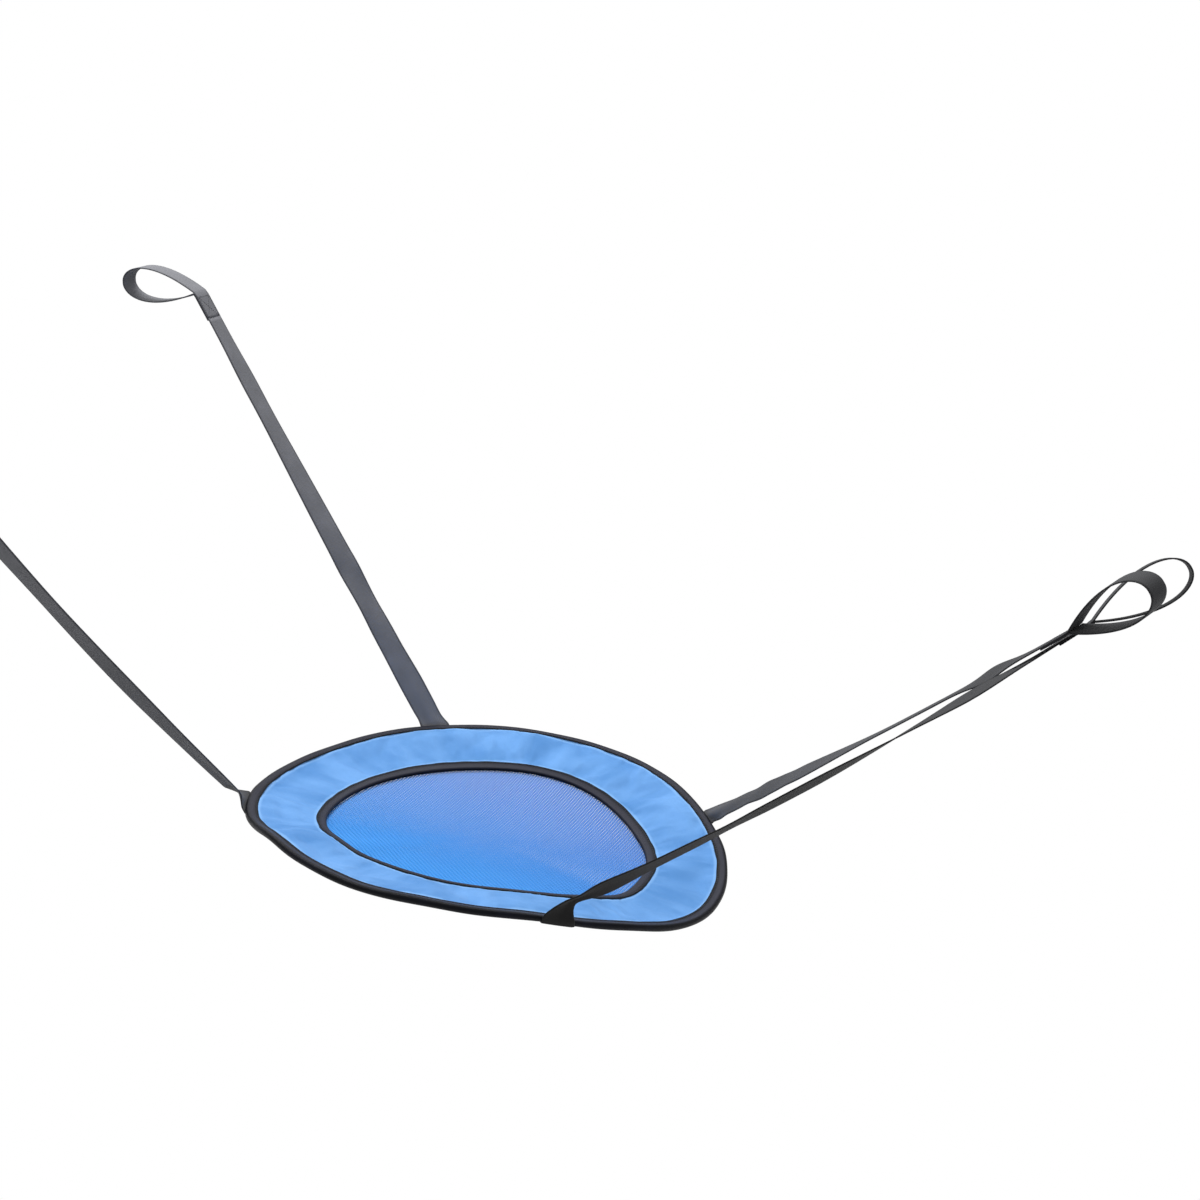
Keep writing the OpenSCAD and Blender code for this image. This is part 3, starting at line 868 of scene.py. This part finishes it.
RIM_LENGTH = 2 * math.pi * NET_R
SEAM_LENGTH = RIM_LENGTH * MESH_SHARE
rim_section = hairpin(FOLD_R, RIM_TAPE_W, FOLD_R, CORD_R + LAY_GAP, -1, 15, 7)
seam_section = hairpin(SEAM_FOLD_AT, SEAM_OPEN_AT, TAPE_HALF, SLOT_HALF, 1, 11, 7)
rim_tape = tape_ring("rim_tape", rim_section, 0, RIM_SEW_AT, 1176, RIM_LENGTH)
seam_tape = tape_ring("seam_tape", seam_section, 1, SEAM_SEW_AT, 810, SEAM_LENGTH)

# %% [markdown]
# The tape is black grosgrain: fine ribs lie across it. Dust and rubbing have greyed it in
# patches, and a painted highlight lightens it along its crest, which the UV map's second
# number finds.

# %% Tape finish
RIB_M = 0.0009
TAPE_YARN_M = 0.0006
tape_finish, shader, where = new_finish("black_grosgrain", 0.4, Specular_IOR_Level=0.14)
along, across = cloth_place(shader)
worn = ramp(noise(where, 30.0, 5.0, 0.6), 0.42, 0.75)
colour = blend_colour(worn, tint(2, 4, 12), tint(12, 14, 28))
# painted highlight along the crest of the tape
crest = times(ramp(across, 0.001, 0.0045), ramp(across, 0.0102, 0.0067))
colour = blend_colour(times(crest, 0.75), colour, tint(57, 58, 70))
rib = sine(along, RIB_M)
height = plus(rib, times(times(rib, sine(across, TAPE_YARN_M)), 0.4))
coat(shader, colour, bump(height, 0.0001, 0.6))

for tape, binding in ((rim_tape, "outer_binding"), (seam_tape, "inner_binding")):
    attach(tape, "net")
    dress(tape, tape_finish, "dark_tape", binding)

# %% [markdown]
# ## Stitches
# Every stitch is a short thread that comes out of the cloth, arches a little and goes back
# in. Hundreds are made at once: each is a tube of five rings, and all of them are one piece.

# %% Stitch maker
THREAD_R = 0.3
STITCH_SUNK = 0.12
# a stitch starts at this share of the pitch and is this share of it long
STITCH_FROM = 0.14
STITCH_SHARE = 0.74


def sewn(name, start, end, up, arch=0.25):
    """Stitches between the rows of start and end. Ring t of a stitch is at the mix of its two
    ends, raised along up by arch times a parabola of t, and thinner at both ends."""
    t = np.array([0.0, 0.2, 0.5, 0.8, 1.0])[None, :, None, None]
    phi = (np.arange(6) * np.pi / 3)[None, None, :, None]
    run = unit(end - start)
    side = unit(np.cross(run, up))
    over = unit(np.cross(side, run))
    start, end, side, over = (v[:, None, None, :] for v in (start, end, side, over))
    hump = 4 * t * (1 - t)
    r = THREAD_R * (0.55 + 0.45 * hump)
    middle = start + (end - start) * t + over * (arch * hump - STITCH_SUNK)
    return closed_surface(name, middle + r * (np.cos(phi) * side + np.sin(phi) * over))


def ring_seam(part, inward, level, length):
    """Ends and up vectors of the stitches along one line round the net."""
    count = int(round(length / STITCH_PITCH))
    a = (np.arange(count) + STITCH_FROM) * 2 * np.pi / count
    b = a + STITCH_SHARE * 2 * np.pi / count
    up = border_up(a, part * border_width(a) + inward) * np.sign(level)
    return on_tape(part, a, inward, level), on_tape(part, b, inward, level), up


def both(first, second):
    """Two lots of stitches put together."""
    return [np.concatenate(pair) for pair in zip(first, second)]


rim_sew_up = FOLD_R + (TAPE_HALF - FOLD_R) * (RIM_SEW_AT - FOLD_R) / (RIM_TAPE_W - FOLD_R)
rim_stitches = sewn("rim_stitches", *both(ring_seam(0, RIM_SEW_AT, rim_sew_up, RIM_LENGTH),
                                          ring_seam(0, RIM_SEW_AT, -rim_sew_up, RIM_LENGTH)))
seam_stitches = sewn("seam_stitches", *both(ring_seam(1, SEAM_SEW_AT, TAPE_HALF, SEAM_LENGTH),
                                            ring_seam(1, SEAM_SEW_AT, -MESH_DROP - 0.5, SEAM_LENGTH)))

# %% [markdown]
# The thread is twisted black polyester, a little shinier than the tape it lies on.

# %% Thread finish
thread_finish, shader, where = new_finish("black_thread", 0.38, Specular_IOR_Level=0.5)
twist = {"Vector": where, "Scale": 900.0, "Distortion": 2.0}
strands = node(where, "ShaderNodeTexWave", twist, bands_direction="DIAGONAL").outputs[1]
coat(shader, blend_colour(strands, tint(30, 31, 36), tint(66, 67, 74)), bump(strands, 0.0001))

for stitches, thread in ((rim_stitches, "outer_thread"), (seam_stitches, "inner_thread")):
    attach(stitches, "net")
    dress(stitches, thread_finish, "dark_thread", thread)

# %% [markdown]
# ## The straps
# A strap is one length of flat webbing. Its end is sewn under the border, it turns up round
# the rolled rim, and then it runs straight to a player's hand, turning slowly about its own
# line. The straps are pulled sideways, so close to the rim the webbing gathers into a
# narrow gutter before it lies flat again. Webbing is too stiff and too regular for a cloth
# simulation, so it is a section carried along a line.

# %% Lines of the straps
WEB_W = 25.0
WEB_T = 1.4
STRAP_LEN = 560.0
TAB_LEN = 24.0
LAP_LEN = 30.0
LOOP_LEN = 95.0
LOOP_OPEN = 36.0
SWING_GAP = 0.3
FOLD_TAPER = 3.0
LAP_END = STRAP_LEN - SWING_GAP / 2 - FOLD_TAPER
LAP_START = LAP_END - LAP_LEN
FIRST_STITCH_AT = LAP_START + 1.5
# every list from here on has one value for each strap: left, back, right, front
# the direction of the pull, the droop of the taut webbing, and how far it stands up at first:
# that is gained STAND_BY mm from the rim, and lost again at the share STAND_TO of the length
PULL_BEARING = np.radians([249.1, 160.1, -49.8, -0.9])
PULL_RISE = np.radians([46.8, 60.4, 35.8, 32.2])
DROOP = [9.3, 1.0, 5.4, 10.4]
STAND = [6.7, 0.0, 0.0, 11.5]
STAND_BY = 24
STAND_TO = 0.9
# the twist at the root and at the hand, over what share of the length it goes from one to
# the other, and how far from the rim the webbing has turned from the rim's direction to it
TWIST_ROOT = np.radians([-10.0, -56.0, 32.0, -37.0])
TWIST_END = np.radians([-6.0, -2.0, 10.5, -18.2])
TURN_FROM = [0.0, 0.1, 0.22, 0.48]
TURN_TO = [0.45, 0.9, 0.55, 0.72]
TURN_IN = [36.0, 34.0, 48.0, 30.0]
# where it is gathered most, to what share of its width, how suddenly, and how deep it ripples
BUNCH_AT = [18.0, 16.0, 16.0, 27.0]
BUNCH_SHARE = [0.8, 0.97, 0.95, 0.5]
BUNCH_POWER = [1, 1, 1, 2.5]
RIPPLE = [0.5, 1.0, 1.0, 0.2]
# how much wider the sewn ends are at their two selvedges, and how far along that lasts
FLARE = [(36.0, 8.0), (5.0, 2.0), (0.0, 0.0), (1.0, 8.0)]
FLARE_TO = [16.0, 9.0, 9.0, 14.0]
# how far a strap first leans back along the rim, and where it leans most
LEAN = [0.0, 0.0, 0.0, -5.5]
LEAN_AT = 11.0
# where each strap rolls over a little: middle, half length and angle in degrees
ROLLS = [[(260, 70, 2.5), (430, 60, -3)], [(160, 30, 17), (208, 14, -9), (450, 35, -6)],
         [(82, 12, -4), (106, 13, 4), (150, 14, -3), (455, 25, 18)],
         [(50, 40, -14), (188, 28, 5), (440, 40, 13)]]
LOOP_TURN = np.radians([0.0, -55.0, 0.0, 0.0])


# %% Pull, fold and twist of a strap
def smooth(k):
    """From 0 to 1 with no corner at either end."""
    k = np.clip(k, 0, 1)
    return k * k * (3 - 2 * k)


def pull_of(i):
    """Direction in which a strap is pulled, from its bearing and its rise."""
    rise, bearing = PULL_RISE[i], PULL_BEARING[i]
    return np.array([np.cos(rise) * np.cos(bearing), np.cos(rise) * np.sin(bearing), np.sin(rise)])


def fold_of(i):
    """Direction of the rim where the strap folds round it."""
    b = STRAP_BEARING[i]
    return unit(border_at(b + 0.01, 0.0) - border_at(b - 0.01, 0.0))


def root_of(i):
    """Middle of the webbing where it leaves the rim."""
    return lay(STRAP_BEARING[i], -(SWING_GAP + WEB_T / 2), 0.0)


def twist_of(i, s):
    """Twist from lying flat: it eases from the root's value to the end's, and every roll
    adds a bell curve of the length."""
    eased = smooth((s / STRAP_LEN - TURN_FROM[i]) / (TURN_TO[i] - TURN_FROM[i]))
    twist = TWIST_ROOT[i] + (TWIST_END[i] - TWIST_ROOT[i]) * eased
    for middle, half, angle in ROLLS[i]:
        twist = twist + math.radians(angle) * np.exp(-(((s - middle) / half) ** 2))
    return twist


def across_at(i, s):
    """Direction across the webbing: along the rim at the root, then by the twist."""
    pull = pull_of(i)
    level = unit(np.cross([0.0, 0.0, 1.0], pull))
    angle = twist_of(i, s)[:, None]
    twisted = level * np.cos(angle) + np.cross(pull, level) * np.sin(angle)
    k = smooth(s / TURN_IN[i])[:, None]
    return unit(fold_of(i) * (1 - k) + twisted * k)


# %% The line from root to hand
def outward_of(i):
    """Level direction from the middle of the net to the root."""
    return np.array([np.cos(STRAP_BEARING[i]), np.sin(STRAP_BEARING[i]), 0.0])


def strap_line(i, s):
    """Middle of the webbing: a straight pull, less a droop that is a parabola of the length,
    plus a stand that is gained beside the rim and lost evenly on the way to the hand. The
    rim's unevenness shifts the root and fades to nothing at the hand."""
    k = s / STRAP_LEN
    shift = uneven(STRAP_BEARING[i], RIM_UNEVEN, 2) * outward_of(i)
    shift[2] = uneven(STRAP_BEARING[i], RIM_UNEVEN, 3)
    line = root_of(i) + pull_of(i) * s[:, None] - shift * k[:, None]
    near = np.maximum(s, 0) / LEAN_AT
    line = line + fold_of(i) * (LEAN[i] * near * np.exp(1 - near))[:, None]
    line[:, 2] -= 4 * DROOP[i] * k * (1 - k)
    line[:, 2] += STAND[i] * smooth(s / STAND_BY) * np.clip(1 - k / STAND_TO, 0, 1)
    return line


def gathered(i, s):
    """Share of its full width that the webbing keeps: least at BUNCH_AT from the rim."""
    k = (np.maximum(s, 0) / BUNCH_AT[i]) ** BUNCH_POWER[i]
    return 1 - (1 - BUNCH_SHARE[i]) * k * np.exp(1 - k)


def hand_of(i):
    """Middle and direction across of the webbing where the hand loop begins."""
    end = np.array([STRAP_LEN])
    return strap_line(i, end)[0], across_at(i, end)[0]


for i, name in enumerate(STRAP_NAMES):
    print(f"{name} strap, root to hand in mm:", root_of(i).round(), hand_of(i)[0].round())

# %% [markdown]
# The webbing's section is a flat strip with rounded selvedges. Where the webbing is
# gathered, the strip's middle line becomes a shallow wave that keeps its real width.

# %% Webbing section
# distances from the strip's edge where its face starts to round off, and half way round
ROUND_FROM = 0.7
ROUND_AT = 0.2
STRIP_POINTS = 15
STRIP_SHIFT = 100.0


def strip_section():
    """Columns round the strip: position across and height, over the top and back below."""
    x = np.linspace(-1, 1, STRIP_POINTS) * (WEB_W / 2 - ROUND_FROM)
    top = np.stack([x, np.full(STRIP_POINTS, WEB_T / 2)], 1)
    round_x, round_z = WEB_W / 2 - ROUND_AT, WEB_T * 0.34
    edge = np.array([[round_x, round_z], [WEB_W / 2, 0.0], [round_x, -round_z]])
    return np.concatenate([top, edge, top[::-1] * [1, -1], edge[::-1] * [-1, 1]])


def strip_uv(strip):
    """The strip's positions across for the UV map. Below, they are shifted by a round number."""
    across = strip[:, 0] + np.where(np.arange(len(strip)) < len(strip) // 2, 0, STRIP_SHIFT)
    return np.append(across, strip[0, 0] + 2 * STRIP_SHIFT)


STRIP = strip_section()
STRIP_ACROSS = strip_uv(STRIP)
print(f"the webbing's section has {len(STRIP)} corners")


# %% Webbing along a line
def webbing(line, across, share, flare=(0.0, 0.0), ripple=1.0):
    """Carry the strip along a line. Across is kept as given, the face's normal is the line's
    direction crossed with it. The middle line of the section is a cosine whose height makes
    up for the lost width: (w / 2 pi) times the root of 4 (1 / share - 1). The flare pushes
    each selvedge out, in proportion to the distance from the other one."""
    run = unit(np.gradient(line, axis=0))
    face = unit(np.cross(run, across))
    x = STRIP[:, 0] * share[:, None]
    for side, width in zip((-1, 1), flare):
        wider = np.broadcast_to(width, share.shape)[:, None]
        x = x + side * wider * (0.5 + side * STRIP[:, 0] / WEB_W)
    narrow = np.minimum(share, 1.0)
    swell = WEB_W * narrow / (2 * np.pi) * np.sqrt(4 * (1 / narrow - 1)) * ripple
    phase = 2 * np.pi * STRIP[:, 0] / WEB_W
    lift = swell[:, None] * (np.cos(phase) + 0.2)
    slope = -swell[:, None] * np.sin(phase) * 2 * np.pi / (WEB_W * share[:, None])
    tilt = 1 / np.sqrt(1 + slope**2)
    flat = x - STRIP[:, 1] * slope * tilt
    high = lift + STRIP[:, 1] * tilt
    return line[:, None] + across[:, None] * flat[..., None] + face[:, None] * high[..., None]


# %% [markdown]
# The strap piece starts with its sewn end under the border.

# %% Strap pieces
TAB_GAP = 0.25
FIRST_AT = 3.0
SECOND_AT = 6.0
STRAP_STEPS = 150
STEP_POWER = 1.35
# the back strap keeps this share of its flare longer: up to this length, fading over that one
BACK_WIDER = 0.4
BACK_WIDER_TO = 110
BACK_WIDER_FADE = 60
# how far from the rim the webbing still follows the rim's curve
CURVED_TO = 10
# distances before and past the hinge line of the two points that a strap piece returns
ROOT_BEND = (-1.0, 9.0)


def tab_line(i):
    """Line of the sewn end: three points under the border, two where it steps over the edge of
    the tape, one where it reaches the rolled rim, and a part of a circle up round that."""
    low = SLOT_HALF + WEB_T / 2 + TAB_GAP
    tape_low = TAPE_HALF + LAY_GAP + WEB_T / 2 + 0.6
    wrap = FOLD_R + LAY_GAP + WEB_T / 2 + 0.1
    inward = [TAB_LEN, 18, RIM_TAPE_W + 4, RIM_TAPE_W + 1.5, RIM_SEW_AT, 4.6]
    up = [-low, -low, -low, -tape_low + 0.3, -tape_low, -wrap - 0.15]
    g = np.radians(np.linspace(90, 46, 6))
    inward = np.concatenate([inward, FOLD_R - wrap * np.cos(g)])
    return lay(STRAP_BEARING[i], inward, np.concatenate([up, -wrap * np.sin(g)]))


def strap_piece(i):
    """Sewn end, a smooth turn at the root, and the strap to the middle of its sewn lap. Beside
    the rim the webbing curves with it: a point falls in by its sideways distance squared over
    twice the net's radius."""
    tab = tab_line(i)
    steps = np.linspace(0, 1, STRAP_STEPS) ** STEP_POWER
    s = np.concatenate([[FIRST_AT], SECOND_AT + (FIRST_STITCH_AT - SECOND_AT) * steps])
    line = np.concatenate([tab, strap_line(i, s)])
    where = np.concatenate([np.full(len(tab), 0.0), s])
    across = across_at(i, where)
    spread = np.exp(-((where / FLARE_TO[i]) ** 2))
    if STRAP_NAMES[i] == "back":
        spread = spread + BACK_WIDER * smooth((BACK_WIDER_TO - where) / BACK_WIDER_FADE)
    spread[:len(tab)] *= np.linspace(0, 1, len(tab))
    grid = webbing(line, across, gathered(i, where), [width * spread for width in FLARE[i]], RIPPLE[i])
    sideways = np.einsum("ijk,ik->ij", grid - line[:, None], across)
    fall_in = sideways**2 / (2 * NET_R) * np.exp(-((where / CURVED_TO) ** 2))[:, None]
    grid = grid - fall_in[..., None] * outward_of(i)
    name = f"webbing_{STRAP_NAMES[i]}"
    piece = closed_surface(name, grid, along=lengths_along(line), across=STRIP_ACROSS)
    fold = fold_of(i)
    pull = pull_of(i)
    off_axis = unit(pull - (pull @ fold) * fold)
    return piece, root_of(i) + ROOT_BEND[0] * off_axis, root_of(i) + ROOT_BEND[1] * off_axis


# %% [markdown]
# ## The hand loops
# At its end the webbing goes on into a loop, comes back, and is sewn under the strap. The
# loop piece takes over at the first row of stitches, so the change is hidden under them.
# Its line is a drop that grows evenly from the fold and is round at the far end.

# %% Loop pieces
LAP_GAP = 0.08
LOOP_BEND = 2.5


def loop_half(k):
    """Half height of the drop at share k of its length, widest at two thirds."""
    return LOOP_OPEN / 2 * k * 1.5 * np.sqrt(np.maximum(1 - k, 0) * 3)


def loop_frame(i):
    """The hinge point of a loop, its direction, the direction across it and its upper side."""
    end, w = hand_of(i)
    pull = pull_of(i)
    t = -LOOP_TURN[i]
    u = pull * np.cos(t) + np.cross(w, pull) * np.sin(t) + w * (w @ pull) * (1 - np.cos(t))
    return end, u, w, np.cross(u, w)


def loop_piece(i):
    """Upper layer of the lap, round the drop, and the lower layer back to its cut end."""
    end, u, w, n = loop_frame(i)
    s = np.linspace(FIRST_STITCH_AT, LAP_END - 1.0, 9)
    on_lap = across_at(i, s)
    face = unit(np.cross(pull_of(i), on_lap))
    upper = strap_line(i, s)
    lower = upper[::-1] - face[::-1] * (WEB_T + LAP_GAP)
    lower = np.concatenate([lower, lower[-1:] - pull_of(i) * 1.5])
    q = (1 - np.cos(np.linspace(0, np.pi, 30)[1:])) / 2
    inner = LOOP_LEN - WEB_T - SWING_GAP / 2
    half = loop_half(q) + WEB_T / 2
    out = WEB_T + SWING_GAP / 2 + inner * q + 0.5 * WEB_T * q
    up_leg = end + u * out[:, None] + n * half[:, None]
    low_leg = (end + u * out[:, None] - n * half[:, None])[::-1][1:]
    line = np.concatenate([upper, up_leg, low_leg, lower])
    on_drop = np.tile(w, (len(up_leg) + len(low_leg), 1))
    across = np.concatenate([on_lap, on_drop, on_lap[::-1], on_lap[:1]])
    grid = webbing(line, across, np.ones(len(line)), ripple=0.0)
    along = lengths_along(line) + STRAP_LEN
    piece = closed_surface(f"loop_{STRAP_NAMES[i]}", grid, along=along, across=STRIP_ACROSS)
    return piece, end - pull_of(i) * LOOP_BEND, end + pull_of(i) * LOOP_BEND


# %% [markdown]
# A box with a cross closes each hand loop, through both layers of webbing. The sewn end under
# the rim is held by two rows of close zigzags. Both use the stitch maker, so only the points
# where each stitch starts and stops have to be worked out.

# %% Stitches of the straps
BOX_MARGIN = 2.5
BOX_PITCH = 2.8
TACK_STEPS = 16
TACK_ZIG = 1.1


def box_stitches(i):
    """A box with a cross through the two layers of the lap, on its upper and lower face."""
    x = WEB_W / 2 - BOX_MARGIN
    near, far = FIRST_STITCH_AT, LAP_END - BOX_MARGIN
    corner = np.array([[near, -x], [near, x], [far, x], [far, -x]])
    starts = []
    stops = []
    for p, q in ((0, 1), (1, 2), (2, 3), (3, 0), (0, 2), (1, 3)):
        way = corner[q] - corner[p]
        count = int(round(np.linalg.norm(way) / BOX_PITCH))
        k = (np.arange(count) / count)[:, None]
        starts.append(corner[p] + way * (k + 0.12 / count))
        stops.append(corner[p] + way * (k + 0.88 / count))
    starts = np.concatenate(starts)
    stops = np.concatenate(stops)

    def on_face(at, level):
        side = across_at(i, at[:, 0])
        face = unit(np.cross(pull_of(i), side))
        return strap_line(i, at[:, 0]) + side * at[:, 1:] + face * level, face

    (a, up), (b, _) = on_face(starts, WEB_T / 2), on_face(stops, WEB_T / 2)
    (c, low), (d, _) = on_face(starts, -1.5 * WEB_T), on_face(stops, -1.5 * WEB_T)
    return sewn(f"loop_stitches_{STRAP_NAMES[i]}_sewn", *both((a, b, up), (c, d, -low)), arch=0.2)


def tack_stitches():
    """Two close zigzags across each sewn end, on its lower face."""
    half = np.arcsin((WEB_W / 2 - 1.5) / NET_R)
    level = -(SLOT_HALF + WEB_T + TAB_GAP)
    k = np.arange(TACK_STEPS + 1)
    zig = np.where(k % 2 == 0, -TACK_ZIG, TACK_ZIG)
    rows = []
    for bearing in STRAP_BEARING:
        a = bearing + half * (k / (TACK_STEPS / 2) - 1)
        for inward in (TAB_LEN - 2.5, RIM_TAPE_W + 4.5):
            p = lay(a, inward + zig, level)
            rows.append((p[:-1], p[1:], -border_up(a[:-1], inward + zig[:-1])))
    return sewn("tack_stitches", *(np.concatenate(column) for column in zip(*rows)))


# %% [markdown]
# The webbing is grey polyester. Its weave shows as rows of small slanting floats that turn
# back at the middle, like a herringbone, and its selvedges are smoother and darker. The
# pattern reads the UV map, whose first number runs along the strap and second across it.

# %% Webbing finish
FLOAT_M = 0.0021
PICK_M = 0.0010
# greys as they look on screen: plain, rubbed, painted shade between the floats, and at the selvedges
WEBBING_GREYS = ((124, 125, 130), (140, 141, 147), (104, 105, 111), (62, 63, 69))


def webbing_finish(name, root, middle, hand):
    """One strap's finish. Its grey is a share of the full grey at the root, along the middle
    and at the hand, and it changes softly between them. The shares are painted shade and
    light: darkest at the roots and on the straps whose faces turn from the light."""
    finish, shader, where = new_finish(name, 0.7, Specular_IOR_Level=0.2, Sheen_Weight=0.1)
    along, across = cloth_place(shader)
    half = STRIP_SHIFT * MM / 2
    side_of = calc("SUBTRACT", calc("MODULO", plus(across, half), 2 * half), half)
    selvedge = ramp(calc("ABSOLUTE", side_of), 0.0098, 0.0118)
    zig = calc("PINGPONG", side_of, 2 * FLOAT_M)
    weave = plus(sine(plus(along, zig), FLOAT_M), times(sine(side_of, PICK_M), 0.5))
    rubbed = ramp(noise(where, 26.0, 5.0, 0.6), 0.4, 0.75)
    # painted shade and light: the grey goes from the root's share to the middle's, then to the hand's
    past_root = ramp(along, 0.042, 0.075)
    past_middle = ramp(along, 0.34, 0.46)
    layers = []
    for grey in WEBBING_GREYS:
        tones = [tint(*(share * value for value in grey)) for share in (root, middle, hand)]
        toned = blend_colour(past_root, tones[0], tones[1])
        layers.append(blend_colour(past_middle, toned, tones[2]))
    colour = blend_colour(rubbed, layers[0], layers[1])
    # painted shade in the hollows between the floats
    colour = blend_colour(ramp(weave, -1.2, 0.6), layers[2], colour)
    colour = blend_colour(times(selvedge, 0.75), colour, layers[3])
    coat(shader, colour, bump(weave, 0.00014, 0.45))
    return finish


# painted shade and light of each strap, as shares of the grey at root, middle and hand
webbing_finishes = [webbing_finish("webbing_painted_shading_left", 0.57, 0.92, 1.07),
                    webbing_finish("webbing_painted_shading_back", 1.05, 1.06, 1.04),
                    webbing_finish("webbing_painted_shading_right", 0.74, 0.6, 0.5),
                    webbing_finish("webbing_painted_shading_front", 0.08, 0.25, 0.46)]

# %% [markdown]
# Each side of the net has two bodies that move, a strap and its loop. The stitches of a
# loop ride on its strap's body.

# %% Make the straps and loops, and put their stitches on a body
for i, name in enumerate(STRAP_NAMES):
    strap, start, end = strap_piece(i)
    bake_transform(strap)
    dress(strap, webbing_finishes[i], "grey_webbing", f"strap_tab_{name}", f"strap_{name}")
    loop, start, end = loop_piece(i)
    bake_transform(loop)
    dress(loop, webbing_finishes[i], "grey_webbing", f"hand_loop_{name}")
    stitches = box_stitches(i)
    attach(stitches, f"{name}_strap")
    dress(stitches, thread_finish, "dark_thread", f"loop_stitches_{name}")

tacks = tack_stitches()
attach(tacks, "net")
dress(tacks, thread_finish, "dark_thread", "tab_bar_tacks")

# %% [markdown]
# ## The filler cord
# A soft cotton cord fills the rolled rim. It hardly ever shows, but it is there: three plies
# twisted together, so its section is a circle with three lobes that turn along the cord.

# %% Filler cord
CORD_LAY = 14.0


def plied_cord(name, stations, sides):
    """A tube round the net whose radius has three lobes, turning once in CORD_LAY."""
    a = (np.arange(stations) * 2 * np.pi / stations)[:, None]
    phi = (np.arange(sides) * 2 * np.pi / sides)[None, :]
    turns = round(RIM_LENGTH / CORD_LAY)
    r = CORD_R * (0.86 + 0.12 * np.abs(np.cos(1.5 * (phi - a * turns))))
    grid = lay(a, FOLD_R + r * np.cos(phi), r * np.sin(phi))
    return closed_surface(name, grid, join_rows=True)


cord_finish, shader, where = new_finish("cotton_cord", 0.85, Sheen_Weight=0.2)
fluff = noise(where, 400.0)
coat(shader, blend_colour(fluff, tint(190, 186, 172), tint(226, 223, 212)), bump(fluff, 0.0003))
rim_cord = plied_cord("twisted_cord", 1120, 16)
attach(rim_cord, "net")
dress(rim_cord, cord_finish, "filler_cord", "rim_cord")

# %% [markdown]
# ## Sheets of cloth
# The mesh and the border are sheets that were cut flat and are held stretched.

# %% [markdown]
# ## Floor, light and background
# The net hangs a metre over a plain pale floor. Far from the net the floor turns into the
# white of the background, but only for what the camera and shiny surfaces see, so the
# background adds no light to the cloth. One large soft lamp stands high behind the net, and
# a weak one in front lightens the shadows.

# %% Floor and background
FLOOR_Z = -1.0
FLOOR_R = 9.0
FLOOR_CORNERS = 96
ring_a = np.linspace(0, 2 * np.pi, FLOOR_CORNERS, endpoint=False)
floor_points = np.stack([FLOOR_R * np.cos(ring_a), FLOOR_R * np.sin(ring_a), 0 * ring_a + FLOOR_Z], 1)
floor_mesh = bpy.data.meshes.new("floor")
floor_mesh.from_pydata(floor_points.tolist(), [], [list(range(FLOOR_CORNERS))])
floor = add_object("floor", floor_mesh)
floor_finish, shader, where = new_finish("pale_floor", 0.9)
path = node(shader, "ShaderNodeLightPath").outputs
seen = calc("MAXIMUM", path["Is Camera Ray"], path["Is Glossy Ray"])
seen = calc("MAXIMUM", seen, path["Is Transmission Ray"])
feed(shader.inputs["Base Color"], blend_colour(seen, tint(128, 128, 130), tint(246, 246, 247)))
far_off = ramp(vector_calc("LENGTH", level_part(where)), 0.36, 0.8)
white = node(shader, "ShaderNodeEmission", {"Color": (1, 1, 1, 1), "Strength": 1.0}).outputs[0]
layers = {0: times(far_off, seen), 1: shader.outputs[0], 2: white}
mixed = node(shader, "ShaderNodeMixShader", layers).outputs[0]
feed(floor_finish.node_tree.nodes["Material Output"].inputs[0], mixed)
floor_mesh.materials.append(floor_finish)

# %% Light
SKY_STRENGTH = 0.5
world = bpy.data.worlds.new("studio")
bpy.context.scene.world = world
world.use_nodes = True
background = world.node_tree.nodes["Background"]
path = node(background, "ShaderNodeLightPath").outputs
seen = calc("MAXIMUM", path["Is Camera Ray"], path["Is Transmission Ray"])
strength = calc("MULTIPLY_ADD", seen, 1.0 - SKY_STRENGTH, SKY_STRENGTH)
feed(background.inputs["Strength"], strength)
feed(background.inputs["Color"], (1, 1, 1, 1))


def soft_lamp(name, place, size, watts):
    """A square lamp of the given size that faces the middle of the net."""
    data = bpy.data.lights.new(name, "AREA")
    data.size = size
    data.energy = watts
    lamp = add_object(name, data)
    lamp.location = place
    x, y, z = place
    lamp.rotation_euler = (math.atan2(math.hypot(x, y), z), 0.0, math.atan2(y, x) + math.pi / 2)
    print(f"{name}: {lamp.location.length:.1f} m from the net, {watts:.0f} W")


soft_lamp("lamp_behind", (-0.5, 1.1, 2.9), 1.8, 84.0)
soft_lamp("lamp_front", (-1.0, -2.2, 2.4), 2.2, 9.0)

# %% [markdown]
# ## Look and finish
# Colours are shown as they are written.

# %% Finish
bpy.context.scene.view_settings.view_transform = "Standard"
